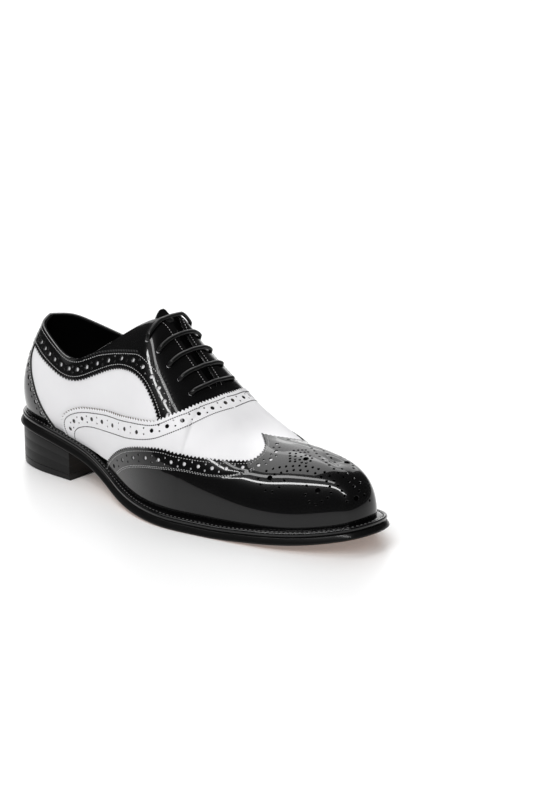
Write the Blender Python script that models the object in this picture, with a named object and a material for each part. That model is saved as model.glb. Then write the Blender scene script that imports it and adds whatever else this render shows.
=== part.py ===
"""Spectator shoe for the right foot, built as closed solids.

Metres, +Z up. +X points to the toe and +Y to the wearer's inner side.
The upper is a ring of ribs: each rib starts on the feather line, where the upper meets
the welt, and ends on the collar, on an edge of the facings or on the ridge of the vamp.
t runs round the ring from the middle of the back along the outer side to the toe (t = RIBS)
and home along the inner side. v runs up a rib from 0 to 1.
"""
import math
from collections import namedtuple

import bmesh
import bpy
import numpy as np
from mathutils import Matrix

# Driving sizes of the shoe
LENGTH = 0.302         # bottom of the last, heel to toe
BALL = 0.096           # bottom of the last across the ball
INSTEP = 0.100         # scale of every height over the feather line
HEEL_LIFT = 0.0295     # underside of the outsole over the floor at the back
HEEL_LENGTH = 0.062    # back of the last to the breast of the heel
MARGIN = 0.0085        # how far the welt stands out beyond the feather line
OUTSOLE = 0.0055       # thickness of the outsole
WELT = 0.0035          # thickness of the welt
INSOLE = 0.003         # insole over the top of the welt
WALL = 0.0018          # lining and quarters together
LEATHER = 0.0012       # wing cap, vamp, facings and counter
TONGUE = 0.0020        # thickness of the tongue
TONGUE_RISE = 0.012    # how far the tongue stands above the facings
LACE = 0.0032          # diameter of a lace
CLEAR = 0.0003         # gap between neighbours that don't fill the same space

# One row a rib, from the back of the heel to the toe.
# along, top: share of LENGTH. outer, inner, mid, gap, swell: share of BALL.
# margin: share of MARGIN. rise: share of INSTEP. h1, w2, h2: pull of the rib's curve.
Rib = namedtuple("Rib", "along outer inner margin top mid gap rise h1 w2 h2 swell")
RIB_TABLE = (
    (0.0000,  0.0000, 0.0000, 0.447, 0.0315, 0.0000, 0.0000, 0.6600, 0.300, 0.360, 0.720, 0.0427),
    (0.0116,  0.1615, 0.1687, 0.459, 0.0480, 0.0000, 0.1146, 0.6490, 0.300, 0.350, 0.720, 0.0490),
    (0.0430,  0.2646, 0.2865, 0.518, 0.0795, 0.0010, 0.2042, 0.6184, 0.300, 0.350, 0.720, 0.0542),
    (0.1026,  0.3198, 0.3438, 0.576, 0.1325, 0.0031, 0.2719, 0.5752, 0.300, 0.350, 0.720, 0.0583),
    (0.1821,  0.3229, 0.3490, 0.612, 0.1838, 0.0052, 0.3177, 0.5711, 0.300, 0.380, 0.740, 0.0604),
    (0.2649,  0.3312, 0.3312, 0.635, 0.2417, 0.0062, 0.2969, 0.6572, 0.320, 0.420, 0.800, 0.0656),
    (0.3477,  0.3813, 0.3229, 0.659, 0.3278, 0.0062, 0.2031, 0.9220, 0.360, 0.460, 0.900, 0.0729),
    (0.4172,  0.4531, 0.3385, 0.729, 0.4089, 0.0073, 0.0885, 1.1271, 0.400, 0.450, 0.950, 0.0781),
    (0.4834,  0.5104, 0.3802, 0.800, 0.4503, 0.0073, 0.0438, 1.0576, 0.440, 0.430, 0.970, 0.0823),
    (0.5464,  0.5333, 0.4323, 0.918, 0.5050, 0.0083, 0.0396, 0.9146, 0.460, 0.440, 0.980, 0.0844),
    (0.6060,  0.5187, 0.4792, 1.000, 0.5629, 0.0115, 0.0365, 0.7600, 0.500, 0.460, 1.000, 0.0833),
    (0.6623,  0.4813, 0.5052, 1.059, 0.6109, 0.0167, 0.0365, 0.6500, 0.520, 0.470, 1.000, 0.0729),
    (0.7185,  0.4396, 0.5052, 1.094, 0.6490, 0.0229, 0.0365, 0.5648, 0.550, 0.470, 1.000, 0.0552),
    (0.7748,  0.3979, 0.4823, 1.094, 0.6854, 0.0333, 0.0365, 0.4949, 0.580, 0.470, 1.000, 0.0333),
    (0.8311,  0.3490, 0.4427, 1.094, 0.7268, 0.0458, 0.0365, 0.4530, 0.620, 0.460, 1.000, 0.0156),
    (0.8841,  0.2854, 0.3896, 1.082, 0.7748, 0.0563, 0.0365, 0.4359, 0.660, 0.430, 1.000, 0.0031),
    (0.9305,  0.2052, 0.3271, 1.094, 0.8212, 0.0667, 0.0365, 0.4116, 0.700, 0.400, 1.000, 0.0000),
    (0.9685,  0.1229, 0.2646, 1.082, 0.8593, 0.0729, 0.0365, 0.3789, 0.720, 0.380, 1.000, 0.0000),
    (0.9917,  0.0417, 0.1896, 1.082, 0.8808, 0.0760, 0.0365, 0.3483, 0.740, 0.360, 1.000, 0.0000),
    (1.0000, -0.0781, 0.0781, 1.059, 0.8874, 0.0771, 0.0365, 0.3370, 0.750, 0.330, 1.000, 0.0000),
)
RIBS = len(RIB_TABLE) - 1
THROAT = 10            # the rib where the two facings meet

# Underside of the outsole: share of LENGTH, share of HEEL_LIFT
SOLE = (
    (-0.0110, 1.007), (0.0000, 1.000), (0.0993, 0.942), (0.1987, 0.769), (0.2815, 0.573),
    (0.3642, 0.295), (0.4470, 0.102), (0.5298, 0.027), (0.6126, -0.007), (0.6788, -0.007),
    (0.7450, 0.017), (0.8113, 0.068), (0.8775, 0.129), (0.9437, 0.220), (1.0000, 0.336),
    (1.0331, 0.416),
)

# Edges of the overlays, as (rib, v)
BAND_EDGE = (
    (0.0, 0.72), (1.56, 0.783), (2.8, 0.81), (3.68, 0.805), (4.6, 0.745), (5.5, 0.725),
    (6.1, 0.665), (6.9, 0.578), (7.7, 0.555), (8.35, 0.54), (8.9, 0.48), (9.3, 0.3),
)
VAMP_EDGE = (
    (3.96, -0.05), (4.02, 0.158), (4.24, 0.317), (4.5, 0.39), (4.8, 0.417), (5.4, 0.408),
    (6.0, 0.375), (6.8, 0.342), (7.64, 0.367), (8.36, 0.417), (8.92, 0.483), (9.52, 0.608),
    (9.8, 0.683), (10.16, 0.833), (10.44, 1.0), (10.7, 1.2),
)
WING_EDGE = (
    (5.86, -0.05), (5.92, 0.017), (6.12, 0.075), (6.56, 0.142), (7.24, 0.2), (8.04, 0.258),
    (8.72, 0.308), (9.36, 0.35), (9.96, 0.378), (11.2, 0.442), (12.2, 0.508), (13.04, 0.575),
)
# Peak of the wing cap, as (v, rib)
WING_PEAK = (
    (0.575, 13.04), (0.625, 13.28), (0.7, 13.56), (0.767, 13.68), (0.858, 13.7), (0.93, 13.6),
    (1.0, 13.4),
)
# Front edge of the counter, as (v, rib)
COUNTER_EDGE = (
    (0.0, 3.6), (0.05, 3.36), (0.2, 3.12), (0.4, 2.84), (0.54, 2.36), (0.65, 1.84), (0.783, 1.56),
)

# Lace bars: share of LENGTH along the foot
LACES = (0.419, 0.453, 0.487, 0.521, 0.554)
LACE_END = 0.775       # v of the eyelets

LEVELS = 12            # rows of points up a rib
STEP = 2               # ribs of the mesh for one row of the table
BLACK = (0.012, 0.012, 0.013)
WHITE = (0.80, 0.79, 0.78)
TAN = (0.42, 0.24, 0.12)


def periodic(values):
    """A smooth closed curve through the rows of values, one unit apart."""
    count = len(values)
    system = np.zeros((count, count))
    for i in range(count):
        system[i, i - 1] += 1
        system[i, i] += 4
        system[i, (i + 1) % count] += 1
    change = np.roll(values, 1, 0) - 2 * values + np.roll(values, -1, 0)
    bend = np.linalg.solve(system, 6 * change)

    def curve(t):
        t = np.asarray(t, float) % count
        i = np.floor(t).astype(int) % count
        j = (i + 1) % count
        b = (t - np.floor(t))[..., None]
        a = 1 - b
        return a * values[i] + b * values[j] + ((a**3 - a) * bend[i] + (b**3 - b) * bend[j]) / 6

    return curve


def natural(knots):
    """A smooth curve through (x, y) knots, held level beyond its ends."""
    x, y = np.array(knots, float).T
    count = len(x)
    step = np.diff(x)
    system = np.eye(count)
    right = np.zeros(count)
    for i in range(1, count - 1):
        system[i, i - 1:i + 2] = step[i - 1], 2 * (step[i - 1] + step[i]), step[i]
        right[i] = 6 * ((y[i + 1] - y[i]) / step[i] - (y[i] - y[i - 1]) / step[i - 1])
    bend = np.linalg.solve(system, right)

    def curve(at):
        at = np.clip(at, x[0], x[-1])
        i = np.clip(np.searchsorted(x, at) - 1, 0, count - 2)
        d = step[i]
        a = (x[i + 1] - at) / d
        b = 1 - a
        return a * y[i] + b * y[i + 1] + ((a**3 - a) * bend[i] + (b**3 - b) * bend[i + 1]) * d * d / 6

    return curve


def ring():
    """The rib table as a closed curve in metres."""
    scale = Rib(LENGTH, BALL, BALL, MARGIN, LENGTH, BALL, BALL, INSTEP, 1, 1, 1, BALL)
    rows = np.array(RIB_TABLE) * np.array(scale)
    outer = rows.copy()
    outer[:, 1] = -rows[:, 1]
    inner = rows[::-1].copy()
    inner[:, 1] = inner[:, 2]
    return periodic(np.vstack([outer[:-1], inner[:-1]]))


columns = ring()
profile = natural([(x * LENGTH, z * HEEL_LIFT) for x, z in SOLE])


def sole_height(x):
    """Underside of the outsole over the floor, level where the shoe stands."""
    return np.maximum(profile(x), 0)


def fold(t):
    """The same rib counted on the outer side."""
    t = np.asarray(t, float) % (2 * RIBS)
    return np.minimum(t, 2 * RIBS - t)


def outline(t, out=0.0, share=0.0):
    """Points round the sole, moved out from the feather line."""
    at = columns(t)
    run = columns(np.asarray(t) + 0.001)[..., :2] - columns(np.asarray(t) - 0.001)[..., :2]
    run /= np.linalg.norm(run, axis=-1, keepdims=True)
    normal = np.stack([run[..., 1], -run[..., 0]], -1)
    return at[..., :2] + normal * (out + share * at[..., 3])[..., None], normal


def surface(t, v):
    """Points on the outer face of the upper."""
    t, v = np.broadcast_arrays(np.asarray(t, float), np.asarray(v, float))
    rib = Rib(*np.moveaxis(columns(t), -1, 0))
    foot, normal = outline(t)
    level = sole_height(foot[..., 0]) + OUTSOLE + WELT + CLEAR
    side = np.where(t % (2 * RIBS) < RIBS, -1.0, 1.0)
    half = rib.gap * np.where(fold(t) < THROAT - 0.25, 1.0, 0.0)
    early = 3 * (1 - v)**2 * v
    late = 3 * (1 - v) * v**2
    lean = late * rib.w2 + v**3
    climb = early * rib.h1 + late * rib.h2 + v**3
    puff = rib.swell * np.sin(np.pi * v) * np.sqrt(1 - v)
    x = foot[..., 0] + (rib.top - foot[..., 0]) * lean + normal[..., 0] * puff
    y = foot[..., 1] + (rib.mid + side * half - foot[..., 1]) * lean + normal[..., 1] * puff
    return np.stack([x, y, level + rib.rise * climb], -1)


def add(name, points, faces, colour, roughness):
    """A new object with its own material."""
    mesh = bpy.data.meshes.new(name)
    mesh.from_pydata([tuple(map(float, p)) for p in points], [], [tuple(map(int, f)) for f in faces])
    piece = bpy.data.objects.new(name, mesh)
    bpy.context.scene.collection.objects.link(piece)
    material = bpy.data.materials.new(name)
    material.use_nodes = True
    shader = material.node_tree.nodes["Principled BSDF"]
    shader.inputs["Base Color"].default_value = (*colour, 1)
    shader.inputs["Roughness"].default_value = roughness
    mesh.materials.append(material)
    body = bmesh.new()
    body.from_mesh(mesh)
    bmesh.ops.recalc_face_normals(body, faces=body.faces)
    body.to_mesh(mesh)
    body.free()
    return piece


def stack(loops, ring_closed=False):
    """Faces of a solid through loops of mirrored points, and caps unless it closes on itself."""
    count = len(loops[0])
    points = np.vstack(loops)
    faces = []
    pairs = range(len(loops)) if ring_closed else range(len(loops) - 1)
    for k in pairs:
        low = k * count
        high = (k + 1) % len(loops) * count
        for i in range(count):
            j = (i + 1) % count
            faces.append((low + i, low + j, high + j, high + i))
    if not ring_closed:
        for base in (0, (len(loops) - 1) * count):
            for i in range(count // 2):
                corners = {i: 0, i + 1: 0, (count - i - 1) % count: 0, (count - i) % count: 0}
                faces.append([base + corner for corner in corners])
    return points, faces


def mirrored(ribs, out, share):
    """Points round the sole whose mates across the foot have the same x."""
    plan, _ = outline(ribs, out, share)
    x = (plan[:, 0] + plan[-np.arange(len(plan)) % len(plan), 0]) / 2
    fine = np.linspace(0, RIBS, 801)
    for side in (1, -1):
        on_side = (ribs * side) % (2 * RIBS) <= RIBS
        curve, _ = outline(fine * side, out, share)
        plan[on_side, 1] = np.interp(x[on_side], np.maximum.accumulate(curve[:, 0]), curve[:, 1])
    plan[:, 0] = x
    return plan


def sole_loop(out, share, height, ribs):
    """A loop of points round the sole at a height over its underside."""
    plan = mirrored(ribs, out, share)
    return np.column_stack([plan, sole_height(plan[:, 0]) + height])


def upper_skin():
    """Points, triangles, rib and v, and normals of the upper's outer face."""
    count = 2 * RIBS * STEP
    t = np.arange(count) / STEP
    v = np.linspace(0, 1, LEVELS)
    grid = surface(t[:, None], v[None, :])
    index = np.arange(count * LEVELS).reshape(count, LEVELS)
    for i in range(count):
        if fold(t[i]) >= THROAT:
            index[i, -1] = min(index[i, -1], index[-i % count, -1])
    triangles = []
    for i in range(count):
        j = (i + 1) % count
        for k in range(LEVELS - 1):
            a, b, c, d = index[i, k], index[j, k], index[j, k + 1], index[i, k + 1]
            if t[i] < RIBS:
                triangles += [(a, b, c), (a, c, d)]
            else:
                triangles += [(a, b, d), (b, c, d)]
    place = np.stack([np.broadcast_to(fold(t)[:, None], grid.shape[:2]),
                      np.broadcast_to(v[None, :], grid.shape[:2])], -1).reshape(-1, 2)
    points = grid.reshape(-1, 3)
    triangles = np.array(triangles)
    a, b, c = points[triangles.T]
    face_normal = np.cross(b - a, c - a)
    normals = np.zeros_like(points)
    for corner in triangles.T:
        np.add.at(normals, corner, face_normal)
    low = place[:, 1] == 0
    ahead = points[low, 0]
    slope = (sole_height(ahead + 0.001) - sole_height(ahead - 0.001)) / 0.002
    normals[low, 2] = normals[low, 0] * slope
    normals /= np.maximum(np.linalg.norm(normals, axis=1, keepdims=True), 1e-12)
    return points, triangles, place, normals


def thick(points, faces, normals, low, high):
    """A closed solid between two heights over a skin."""
    used = sorted({corner for face in faces for corner in face})
    new = {corner: k for k, corner in enumerate(used)}
    faces = [[new[corner] for corner in face] for face in faces]
    points, normals = points[used], normals[used]
    count = len(used)
    solid = [list(face) for face in faces]
    solid += [[corner + count for corner in reversed(face)] for face in faces]
    edges = {(face[k - 1], face[k]) for face in faces for k in range(len(face))}
    solid += [[b, a, a + count, b + count] for a, b in edges if (b, a) not in edges]
    return np.vstack([points + normals * high, points + normals * low]), solid


def cut(skin, inside):
    """The part of the skin where inside(rib, v) is above zero."""
    points, triangles, place, normals = skin
    value = inside(place[:, 0], place[:, 1])
    edges = {tuple(sorted((t[k - 1], t[k]))) for t in triangles for k in range(3)}
    crossing = {}
    for a, b in edges:
        if value[a] * value[b] < 0:
            low, high = 0.0, 1.0
            for _ in range(24):
                middle = (low + high) / 2
                spot = place[a] + (place[b] - place[a]) * middle
                if inside(spot[0], spot[1]) * value[a] > 0:
                    low = middle
                else:
                    high = middle
            crossing[a, b] = low
    for (a, b), share in list(crossing.items()):
        near = a if share < 0.06 else b if share > 0.94 else None
        if near is not None:
            value[near] = 0
    points, normals = list(points), list(normals)
    extra = {}

    def corner(a, b):
        key = (min(a, b), max(a, b))
        if key not in extra:
            share = crossing[key]
            extra[key] = len(points)
            points.append(points[key[0]] * (1 - share) + points[key[1]] * share)
            normal = normals[key[0]] * (1 - share) + normals[key[1]] * share
            normals.append(normal / np.linalg.norm(normal))
        return extra[key]

    faces = []
    for triangle in triangles:
        if max(value[triangle]) <= 0:
            continue
        face = []
        for k in range(3):
            a, b = triangle[k], triangle[(k + 1) % 3]
            if value[a] >= 0:
                face.append(a)
            if value[a] * value[b] < 0:
                face.append(corner(a, b))
        if len(face) > 2:
            faces.append(face)
    return np.array(points), faces, np.array(normals)


def edge_of(table):
    """An overlay's edge as a function."""
    x, y = np.array(table).T
    return lambda at: np.interp(at, x, y)


def tube(path, radius, sides=8):
    """Points and faces of a round bar along a path, with flat ends."""
    run = np.gradient(path, axis=0)
    run /= np.linalg.norm(run, axis=1, keepdims=True)
    ahead = np.array([1.0, 0.0, 0.0])
    points = []
    for at, along in zip(path, run):
        side = np.cross(along, ahead)
        side /= np.linalg.norm(side)
        rise = np.cross(along, side)
        for k in range(sides):
            angle = 2 * math.pi * k / sides
            points.append(at + radius * (math.cos(angle) * side + math.sin(angle) * rise))
    faces = []
    for i in range(len(path) - 1):
        for k in range(sides):
            j = (k + 1) % sides
            faces.append((i * sides + k, i * sides + j, (i + 1) * sides + j, (i + 1) * sides + k))
    last = (len(path) - 1) * sides
    faces.append(tuple(range(sides)))
    faces.append(tuple(range(last, last + sides)))
    return np.array(points), faces


def normal_at(t, v):
    """Unit normal of the upper's outer face."""
    low = np.maximum(v - 0.01, 0)
    high = np.minimum(v + 0.01, 1)
    normal = np.cross(surface(t + 0.01, v) - surface(t - 0.01, v), surface(t, high) - surface(t, low))
    return normal / np.linalg.norm(normal, axis=-1, keepdims=True)


def rib_at(x, v):
    """The rib of the outer side that passes x at height v."""
    t = np.linspace(0, RIBS, 381)
    return np.interp(x, surface(t, v)[:, 0], t)


def make_sole():
    """Outsole, welt, heel and insole."""
    ribs = np.arange(2 * RIBS * STEP) / STEP
    top = OUTSOLE
    loops = [sole_loop(out, 1.0, height, ribs) for out, height in (
        (0.0006, 0.0), (0.0016, 0.0010), (0.0010, 0.0030), (-0.0002, 0.0048), (-0.0008, top))]
    add("outsole", *stack(loops), TAN, 0.6)

    bottom = OUTSOLE + CLEAR
    top = OUTSOLE + WELT
    inside = -MARGIN
    loops = [sole_loop(out, share, height, ribs) for out, share, height in (
        (-0.0008, 1.0, bottom), (0.0, 1.0, bottom + 0.3 * WELT), (0.0, 1.0, bottom + 0.6 * WELT),
        (-0.0008, 1.0, top), (0.0, 0.0, top), (inside, 0.0, top), (inside, 0.0, bottom),
        (0.0, 0.0, bottom))]
    add("welt", *stack(loops, ring_closed=True), BLACK, 0.35)

    under = top + CLEAR
    within = -WALL - 2.5 * CLEAR
    loops = [sole_loop(out, 0.0, height, ribs) for out, height in (
        (inside - 2 * CLEAR, bottom), (inside - 2 * CLEAR, under), (within, under),
        (within, under + INSOLE))]
    add("insole", *stack(loops), BLACK, 0.7)

    t = np.linspace(0, 8, 321)
    plan, _ = outline(t, 0.0, 1.0)
    breast = np.interp(HEEL_LENGTH, plan[:, 0], t)
    side = np.linspace(0, breast, 13)
    ribs = np.concatenate([side, -side[:0:-1]])
    loops = []
    for out, height in ((-0.0022, 0.0), (-0.0014, 0.0010), (-0.0006, None)):
        plan = mirrored(ribs, out, 1.0)
        plan[[12, 13], 0] = HEEL_LENGTH
        corner, mate = plan[12], plan[13]
        front = [corner + (mate - corner) * k / 6 - (0.0025 * math.sin(math.pi * k / 6), 0)
                 for k in range(1, 6)]
        plan = np.vstack([plan[:13], front, plan[13:]])
        level = sole_height(plan[:, 0]) - CLEAR if height is None else np.full(len(plan), height)
        loops.append(np.column_stack([plan, level]))
    add("heel", *stack(loops), BLACK, 0.35)


def make_upper():
    """The shell and the overlays on it."""
    skin = upper_skin()
    points, triangles, place, normals = skin
    add("upper", *thick(points, triangles, normals, -WALL, 0), WHITE, 0.4)

    band, vamp, side = edge_of(BAND_EDGE), edge_of(VAMP_EDGE), edge_of(WING_EDGE)
    counter, peak = edge_of(COUNTER_EDGE), edge_of(WING_PEAK)
    seam = 0.008

    def wing(t, v):
        return np.maximum(side(t) - v, (t - peak(v)) * 0.12)

    overlays = {
        "facings": (lambda t, v: np.minimum(v - band(t), v - vamp(t) - seam), BLACK),
        "vamp": (lambda t, v: np.minimum(vamp(t) - v, -wing(t, v) - seam), WHITE),
        "wing_cap": (wing, BLACK),
        "counter": (lambda t, v: np.minimum(counter(v) - t, band(t) - v - seam), BLACK),
    }
    for name, (inside, colour) in overlays.items():
        points, faces, normals = cut(skin, inside)
        add(name, *thick(points, faces, normals, CLEAR, CLEAR + LEATHER), colour, 0.3)


def make_tongue():
    """The tongue under the facings, standing above them at its top."""
    depth = WALL + 4 * CLEAR
    s = np.linspace(-1, 1, 11)
    rows = []
    for t in np.linspace(THROAT + 1.5, THROAT - 2.8, 10):
        v = 1 - 0.26 * np.abs(s)
        rib = np.where(s < 0, t, 2 * RIBS - t)
        normal = normal_at(rib, v)
        normal[5] = normal[4] + normal[6]
        normal /= np.linalg.norm(normal, axis=1, keepdims=True)
        row = surface(rib, v)
        row[5] = (surface(t, 1.0) + surface(2 * RIBS - t, 1.0)) / 2
        rows.append((row - normal * depth, normal))
    lift = rows[-1][0][5] - rows[-2][0][5]
    lift /= np.linalg.norm(lift)
    last, normal = rows[-1]
    for share, width in ((0.3, 0.42), (0.7, 0.38), (1.0, 0.25)):
        tab = last[5] + (last - last[5]) * width
        rows.append((tab + lift * TONGUE_RISE * share, normal))
    points = np.array([row for row, _ in rows]).reshape(-1, 3)
    normals = np.array([normal for _, normal in rows]).reshape(-1, 3)
    faces = []
    for i in range(len(rows) - 1):
        for k in range(10):
            a = i * 11 + k
            faces.append((a, a + 1, a + 12, a + 11))
    add("tongue", *thick(points, faces, normals, -TONGUE, 0), BLACK, 0.35)


def make_laces():
    """Straight round bars over the facings."""
    lift = 3 * CLEAR + LEATHER + LACE / 2
    s = np.linspace(-1, 1, 13)
    for number, share in enumerate(LACES, 1):
        path = []
        for side in s:
            v = 1 - (1 - LACE_END) * max(abs(side), 0.12)
            t = rib_at(share * LENGTH, v)
            t = t if side < 0 else 2 * RIBS - t
            path.append(surface(t, v) + normal_at(t, v) * lift)
        path = np.array(path)
        path[6] = (path[5] + path[7]) / 2 + (0, 0, 0.0004)
        add(f"lace_bar_{number}", *tube(path, LACE / 2), BLACK, 0.45)


def centre():
    """Move every piece so that the origin is under the middle of the shoe."""
    corners = np.array([v.co for piece in bpy.data.objects for v in piece.data.vertices])
    low, high = corners.min(0), corners.max(0)
    shift = Matrix.Translation((-(low[0] + high[0]) / 2, -(low[1] + high[1]) / 2, -low[2]))
    for piece in bpy.data.objects:
        piece.data.transform(shift)


for piece in list(bpy.data.objects):
    bpy.data.objects.remove(piece)
make_sole()
make_upper()
make_tongue()
make_laces()
centre()
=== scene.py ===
# %% [markdown]
# # A spectator shoe
# A two-colour brogue: white quarters and vamp under black overlays whose edges are pinked into
# teeth and punched with holes. The solid parts of the shoe come in as a fixed frame, and each
# of them is dressed here in finer leather. Everything is in metres, toe along +X.

# %% The frame
import math
from collections import namedtuple

import bmesh
import bpy
import numpy as np
from mathutils import Matrix, Vector


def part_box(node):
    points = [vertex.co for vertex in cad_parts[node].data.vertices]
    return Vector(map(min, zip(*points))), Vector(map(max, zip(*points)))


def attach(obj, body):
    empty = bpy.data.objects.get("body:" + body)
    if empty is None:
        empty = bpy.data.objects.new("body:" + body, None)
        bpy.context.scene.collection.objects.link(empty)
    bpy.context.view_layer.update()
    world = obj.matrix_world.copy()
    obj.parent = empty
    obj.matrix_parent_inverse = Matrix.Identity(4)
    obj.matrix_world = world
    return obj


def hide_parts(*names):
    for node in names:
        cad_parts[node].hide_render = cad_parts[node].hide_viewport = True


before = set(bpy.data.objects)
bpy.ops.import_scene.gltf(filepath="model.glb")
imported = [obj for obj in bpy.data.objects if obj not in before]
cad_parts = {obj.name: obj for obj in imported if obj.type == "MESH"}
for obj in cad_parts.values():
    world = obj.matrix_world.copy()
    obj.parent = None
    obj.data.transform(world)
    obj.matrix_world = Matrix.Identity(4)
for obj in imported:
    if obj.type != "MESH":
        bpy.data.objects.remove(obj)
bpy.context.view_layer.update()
MM = 0.001
print("solids:", len(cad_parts))

# %% [markdown]
# ## The last
# A shoe is made over a last, a solid foot shape, and every leather piece takes its form. It
# could be sculpted, but leather, seams and stitches would then each need their own fitting.
# Here the last is a function instead: a rib t runs round the foot from the back of the heel
# (0) to the toe (19) and home, and v climbs each rib from the welt (0) to the collar or the
# ridge (1). The rows are shares of the shoe's sizes, so the shoe follows when one changes.

# %% Sizes and ribs
LENGTH = 0.302         # bottom of the last, heel to toe
BALL = 0.096           # bottom of the last across the ball
INSTEP = 0.100         # scale of the heights over the welt
HEEL_LIFT = 0.0295     # underside of the outsole over the floor at the back
HEEL_LENGTH = 0.062    # back of the last to the breast of the heel
MARGIN = 0.0085        # how far the welt stands out
OUTSOLE = 0.0055
WELT = 0.0035
WALL = 0.0018          # quarters and lining together
CLEAR = 0.0003         # gap between neighbours
THROAT = 10            # rib at which the facings meet

Rib = namedtuple("Rib", "along outer inner margin top mid gap rise h1 w2 h2 swell")
RIB_TABLE = (
    (0.0000,  0.0000, 0.0000, 0.447, 0.0315, 0.0000, 0.0000, 0.6600, 0.300, 0.360, 0.720, 0.0427),
    (0.0116,  0.1615, 0.1687, 0.459, 0.0480, 0.0000, 0.1146, 0.6490, 0.300, 0.350, 0.720, 0.0490),
    (0.0430,  0.2646, 0.2865, 0.518, 0.0795, 0.0010, 0.2042, 0.6184, 0.300, 0.350, 0.720, 0.0542),
    (0.1026,  0.3198, 0.3438, 0.576, 0.1325, 0.0031, 0.2719, 0.5752, 0.300, 0.350, 0.720, 0.0583),
    (0.1821,  0.3229, 0.3490, 0.612, 0.1838, 0.0052, 0.3177, 0.5711, 0.300, 0.380, 0.740, 0.0604),
    (0.2649,  0.3312, 0.3312, 0.635, 0.2417, 0.0062, 0.2969, 0.6572, 0.320, 0.420, 0.800, 0.0656),
    (0.3477,  0.3813, 0.3229, 0.659, 0.3278, 0.0062, 0.2031, 0.9220, 0.360, 0.460, 0.900, 0.0729),
    (0.4172,  0.4531, 0.3385, 0.729, 0.4089, 0.0073, 0.0885, 1.1271, 0.400, 0.450, 0.950, 0.0781),
    (0.4834,  0.5104, 0.3802, 0.800, 0.4503, 0.0073, 0.0438, 1.0576, 0.440, 0.430, 0.970, 0.0823),
    (0.5464,  0.5333, 0.4323, 0.918, 0.5050, 0.0083, 0.0396, 0.9146, 0.460, 0.440, 0.980, 0.0844),
    (0.6060,  0.5187, 0.4792, 1.000, 0.5629, 0.0115, 0.0365, 0.7600, 0.500, 0.460, 1.000, 0.0833),
    (0.6623,  0.4813, 0.5052, 1.059, 0.6109, 0.0167, 0.0365, 0.6500, 0.520, 0.470, 1.000, 0.0729),
    (0.7185,  0.4396, 0.5052, 1.094, 0.6490, 0.0229, 0.0365, 0.5648, 0.550, 0.470, 1.000, 0.0552),
    (0.7748,  0.3979, 0.4823, 1.094, 0.6854, 0.0333, 0.0365, 0.4949, 0.580, 0.470, 1.000, 0.0333),
    (0.8311,  0.3490, 0.4427, 1.094, 0.7268, 0.0458, 0.0365, 0.4530, 0.620, 0.460, 1.000, 0.0156),
    (0.8841,  0.2854, 0.3896, 1.082, 0.7748, 0.0563, 0.0365, 0.4359, 0.660, 0.430, 1.000, 0.0031),
    (0.9305,  0.2052, 0.3271, 1.094, 0.8212, 0.0667, 0.0365, 0.4116, 0.700, 0.400, 1.000, 0.0000),
    (0.9685,  0.1229, 0.2646, 1.082, 0.8593, 0.0729, 0.0365, 0.3789, 0.720, 0.380, 1.000, 0.0000),
    (0.9917,  0.0417, 0.1896, 1.082, 0.8808, 0.0760, 0.0365, 0.3483, 0.740, 0.360, 1.000, 0.0000),
    (1.0000, -0.0781, 0.0781, 1.059, 0.8874, 0.0771, 0.0365, 0.3370, 0.750, 0.330, 1.000, 0.0000),
)
RIBS = len(RIB_TABLE) - 1
TURN = 2 * RIBS
# places along the last and shares of the heel's lift
SOLE = (
    (-0.0110, 1.007), (0.0000, 1.000), (0.0993, 0.942), (0.1987, 0.769), (0.2815, 0.573),
    (0.3642, 0.295), (0.4470, 0.102), (0.5298, 0.027), (0.6126, -0.007), (0.6788, -0.007),
    (0.7450, 0.017), (0.8113, 0.068), (0.8775, 0.129), (0.9437, 0.220), (1.0000, 0.336),
    (1.0331, 0.416),
)
print("ribs on a side:", RIBS, "- points of the sole's line:", len(SOLE))

# %% [markdown]
# ## Smooth curves
# The table holds twenty ribs, and the foot between them has to be as smooth as leather. A
# curve object could be drawn through the rows and sampled, but a cubic spline takes a few
# lines, is exact and works on whole arrays. One kind closes on itself, the other is open.

# %% Smooth curves
def periodic(values):
    """A smooth closed curve through rows of values, one unit apart."""
    count = len(values)
    system = np.zeros((count, count))
    for i in range(count):
        system[i, i - 1] += 1
        system[i, i] += 4
        system[i, (i + 1) % count] += 1
    change = np.roll(values, 1, 0) - 2 * values + np.roll(values, -1, 0)
    bend = np.linalg.solve(system, 6 * change)

    def curve(t):
        t = np.asarray(t, float) % count
        i = np.floor(t).astype(int) % count
        j = (i + 1) % count
        b = (t - np.floor(t))[..., None]
        a = 1 - b
        return a * values[i] + b * values[j] + ((a**3 - a) * bend[i] + (b**3 - b) * bend[j]) / 6

    return curve


def natural(x, y):
    """A smooth curve through the values y at x, held level beyond its ends."""
    x, y = np.asarray(x, float), np.asarray(y, float)
    step = np.diff(x)
    count = len(x)
    system = np.eye(count)
    right = np.zeros_like(y)
    for i in range(1, count - 1):
        system[i, i - 1:i + 2] = step[i - 1], 2 * (step[i - 1] + step[i]), step[i]
        right[i] = 6 * ((y[i + 1] - y[i]) / step[i] - (y[i] - y[i - 1]) / step[i - 1])
    bend = np.linalg.solve(system, right)

    def curve(at):
        at = np.clip(at, x[0], x[-1])
        i = np.clip(np.searchsorted(x, at) - 1, 0, count - 2)
        d = step[i]
        a, b = (x[i + 1] - at) / d, (at - x[i]) / d
        if y.ndim > 1:
            a, b, d = a[..., None], b[..., None], d[..., None]
        curved = (a**3 - a) * bend[i] + (b**3 - b) * bend[i + 1]
        return a * y[i] + b * y[i + 1] + curved * d * d / 6

    return curve


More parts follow.
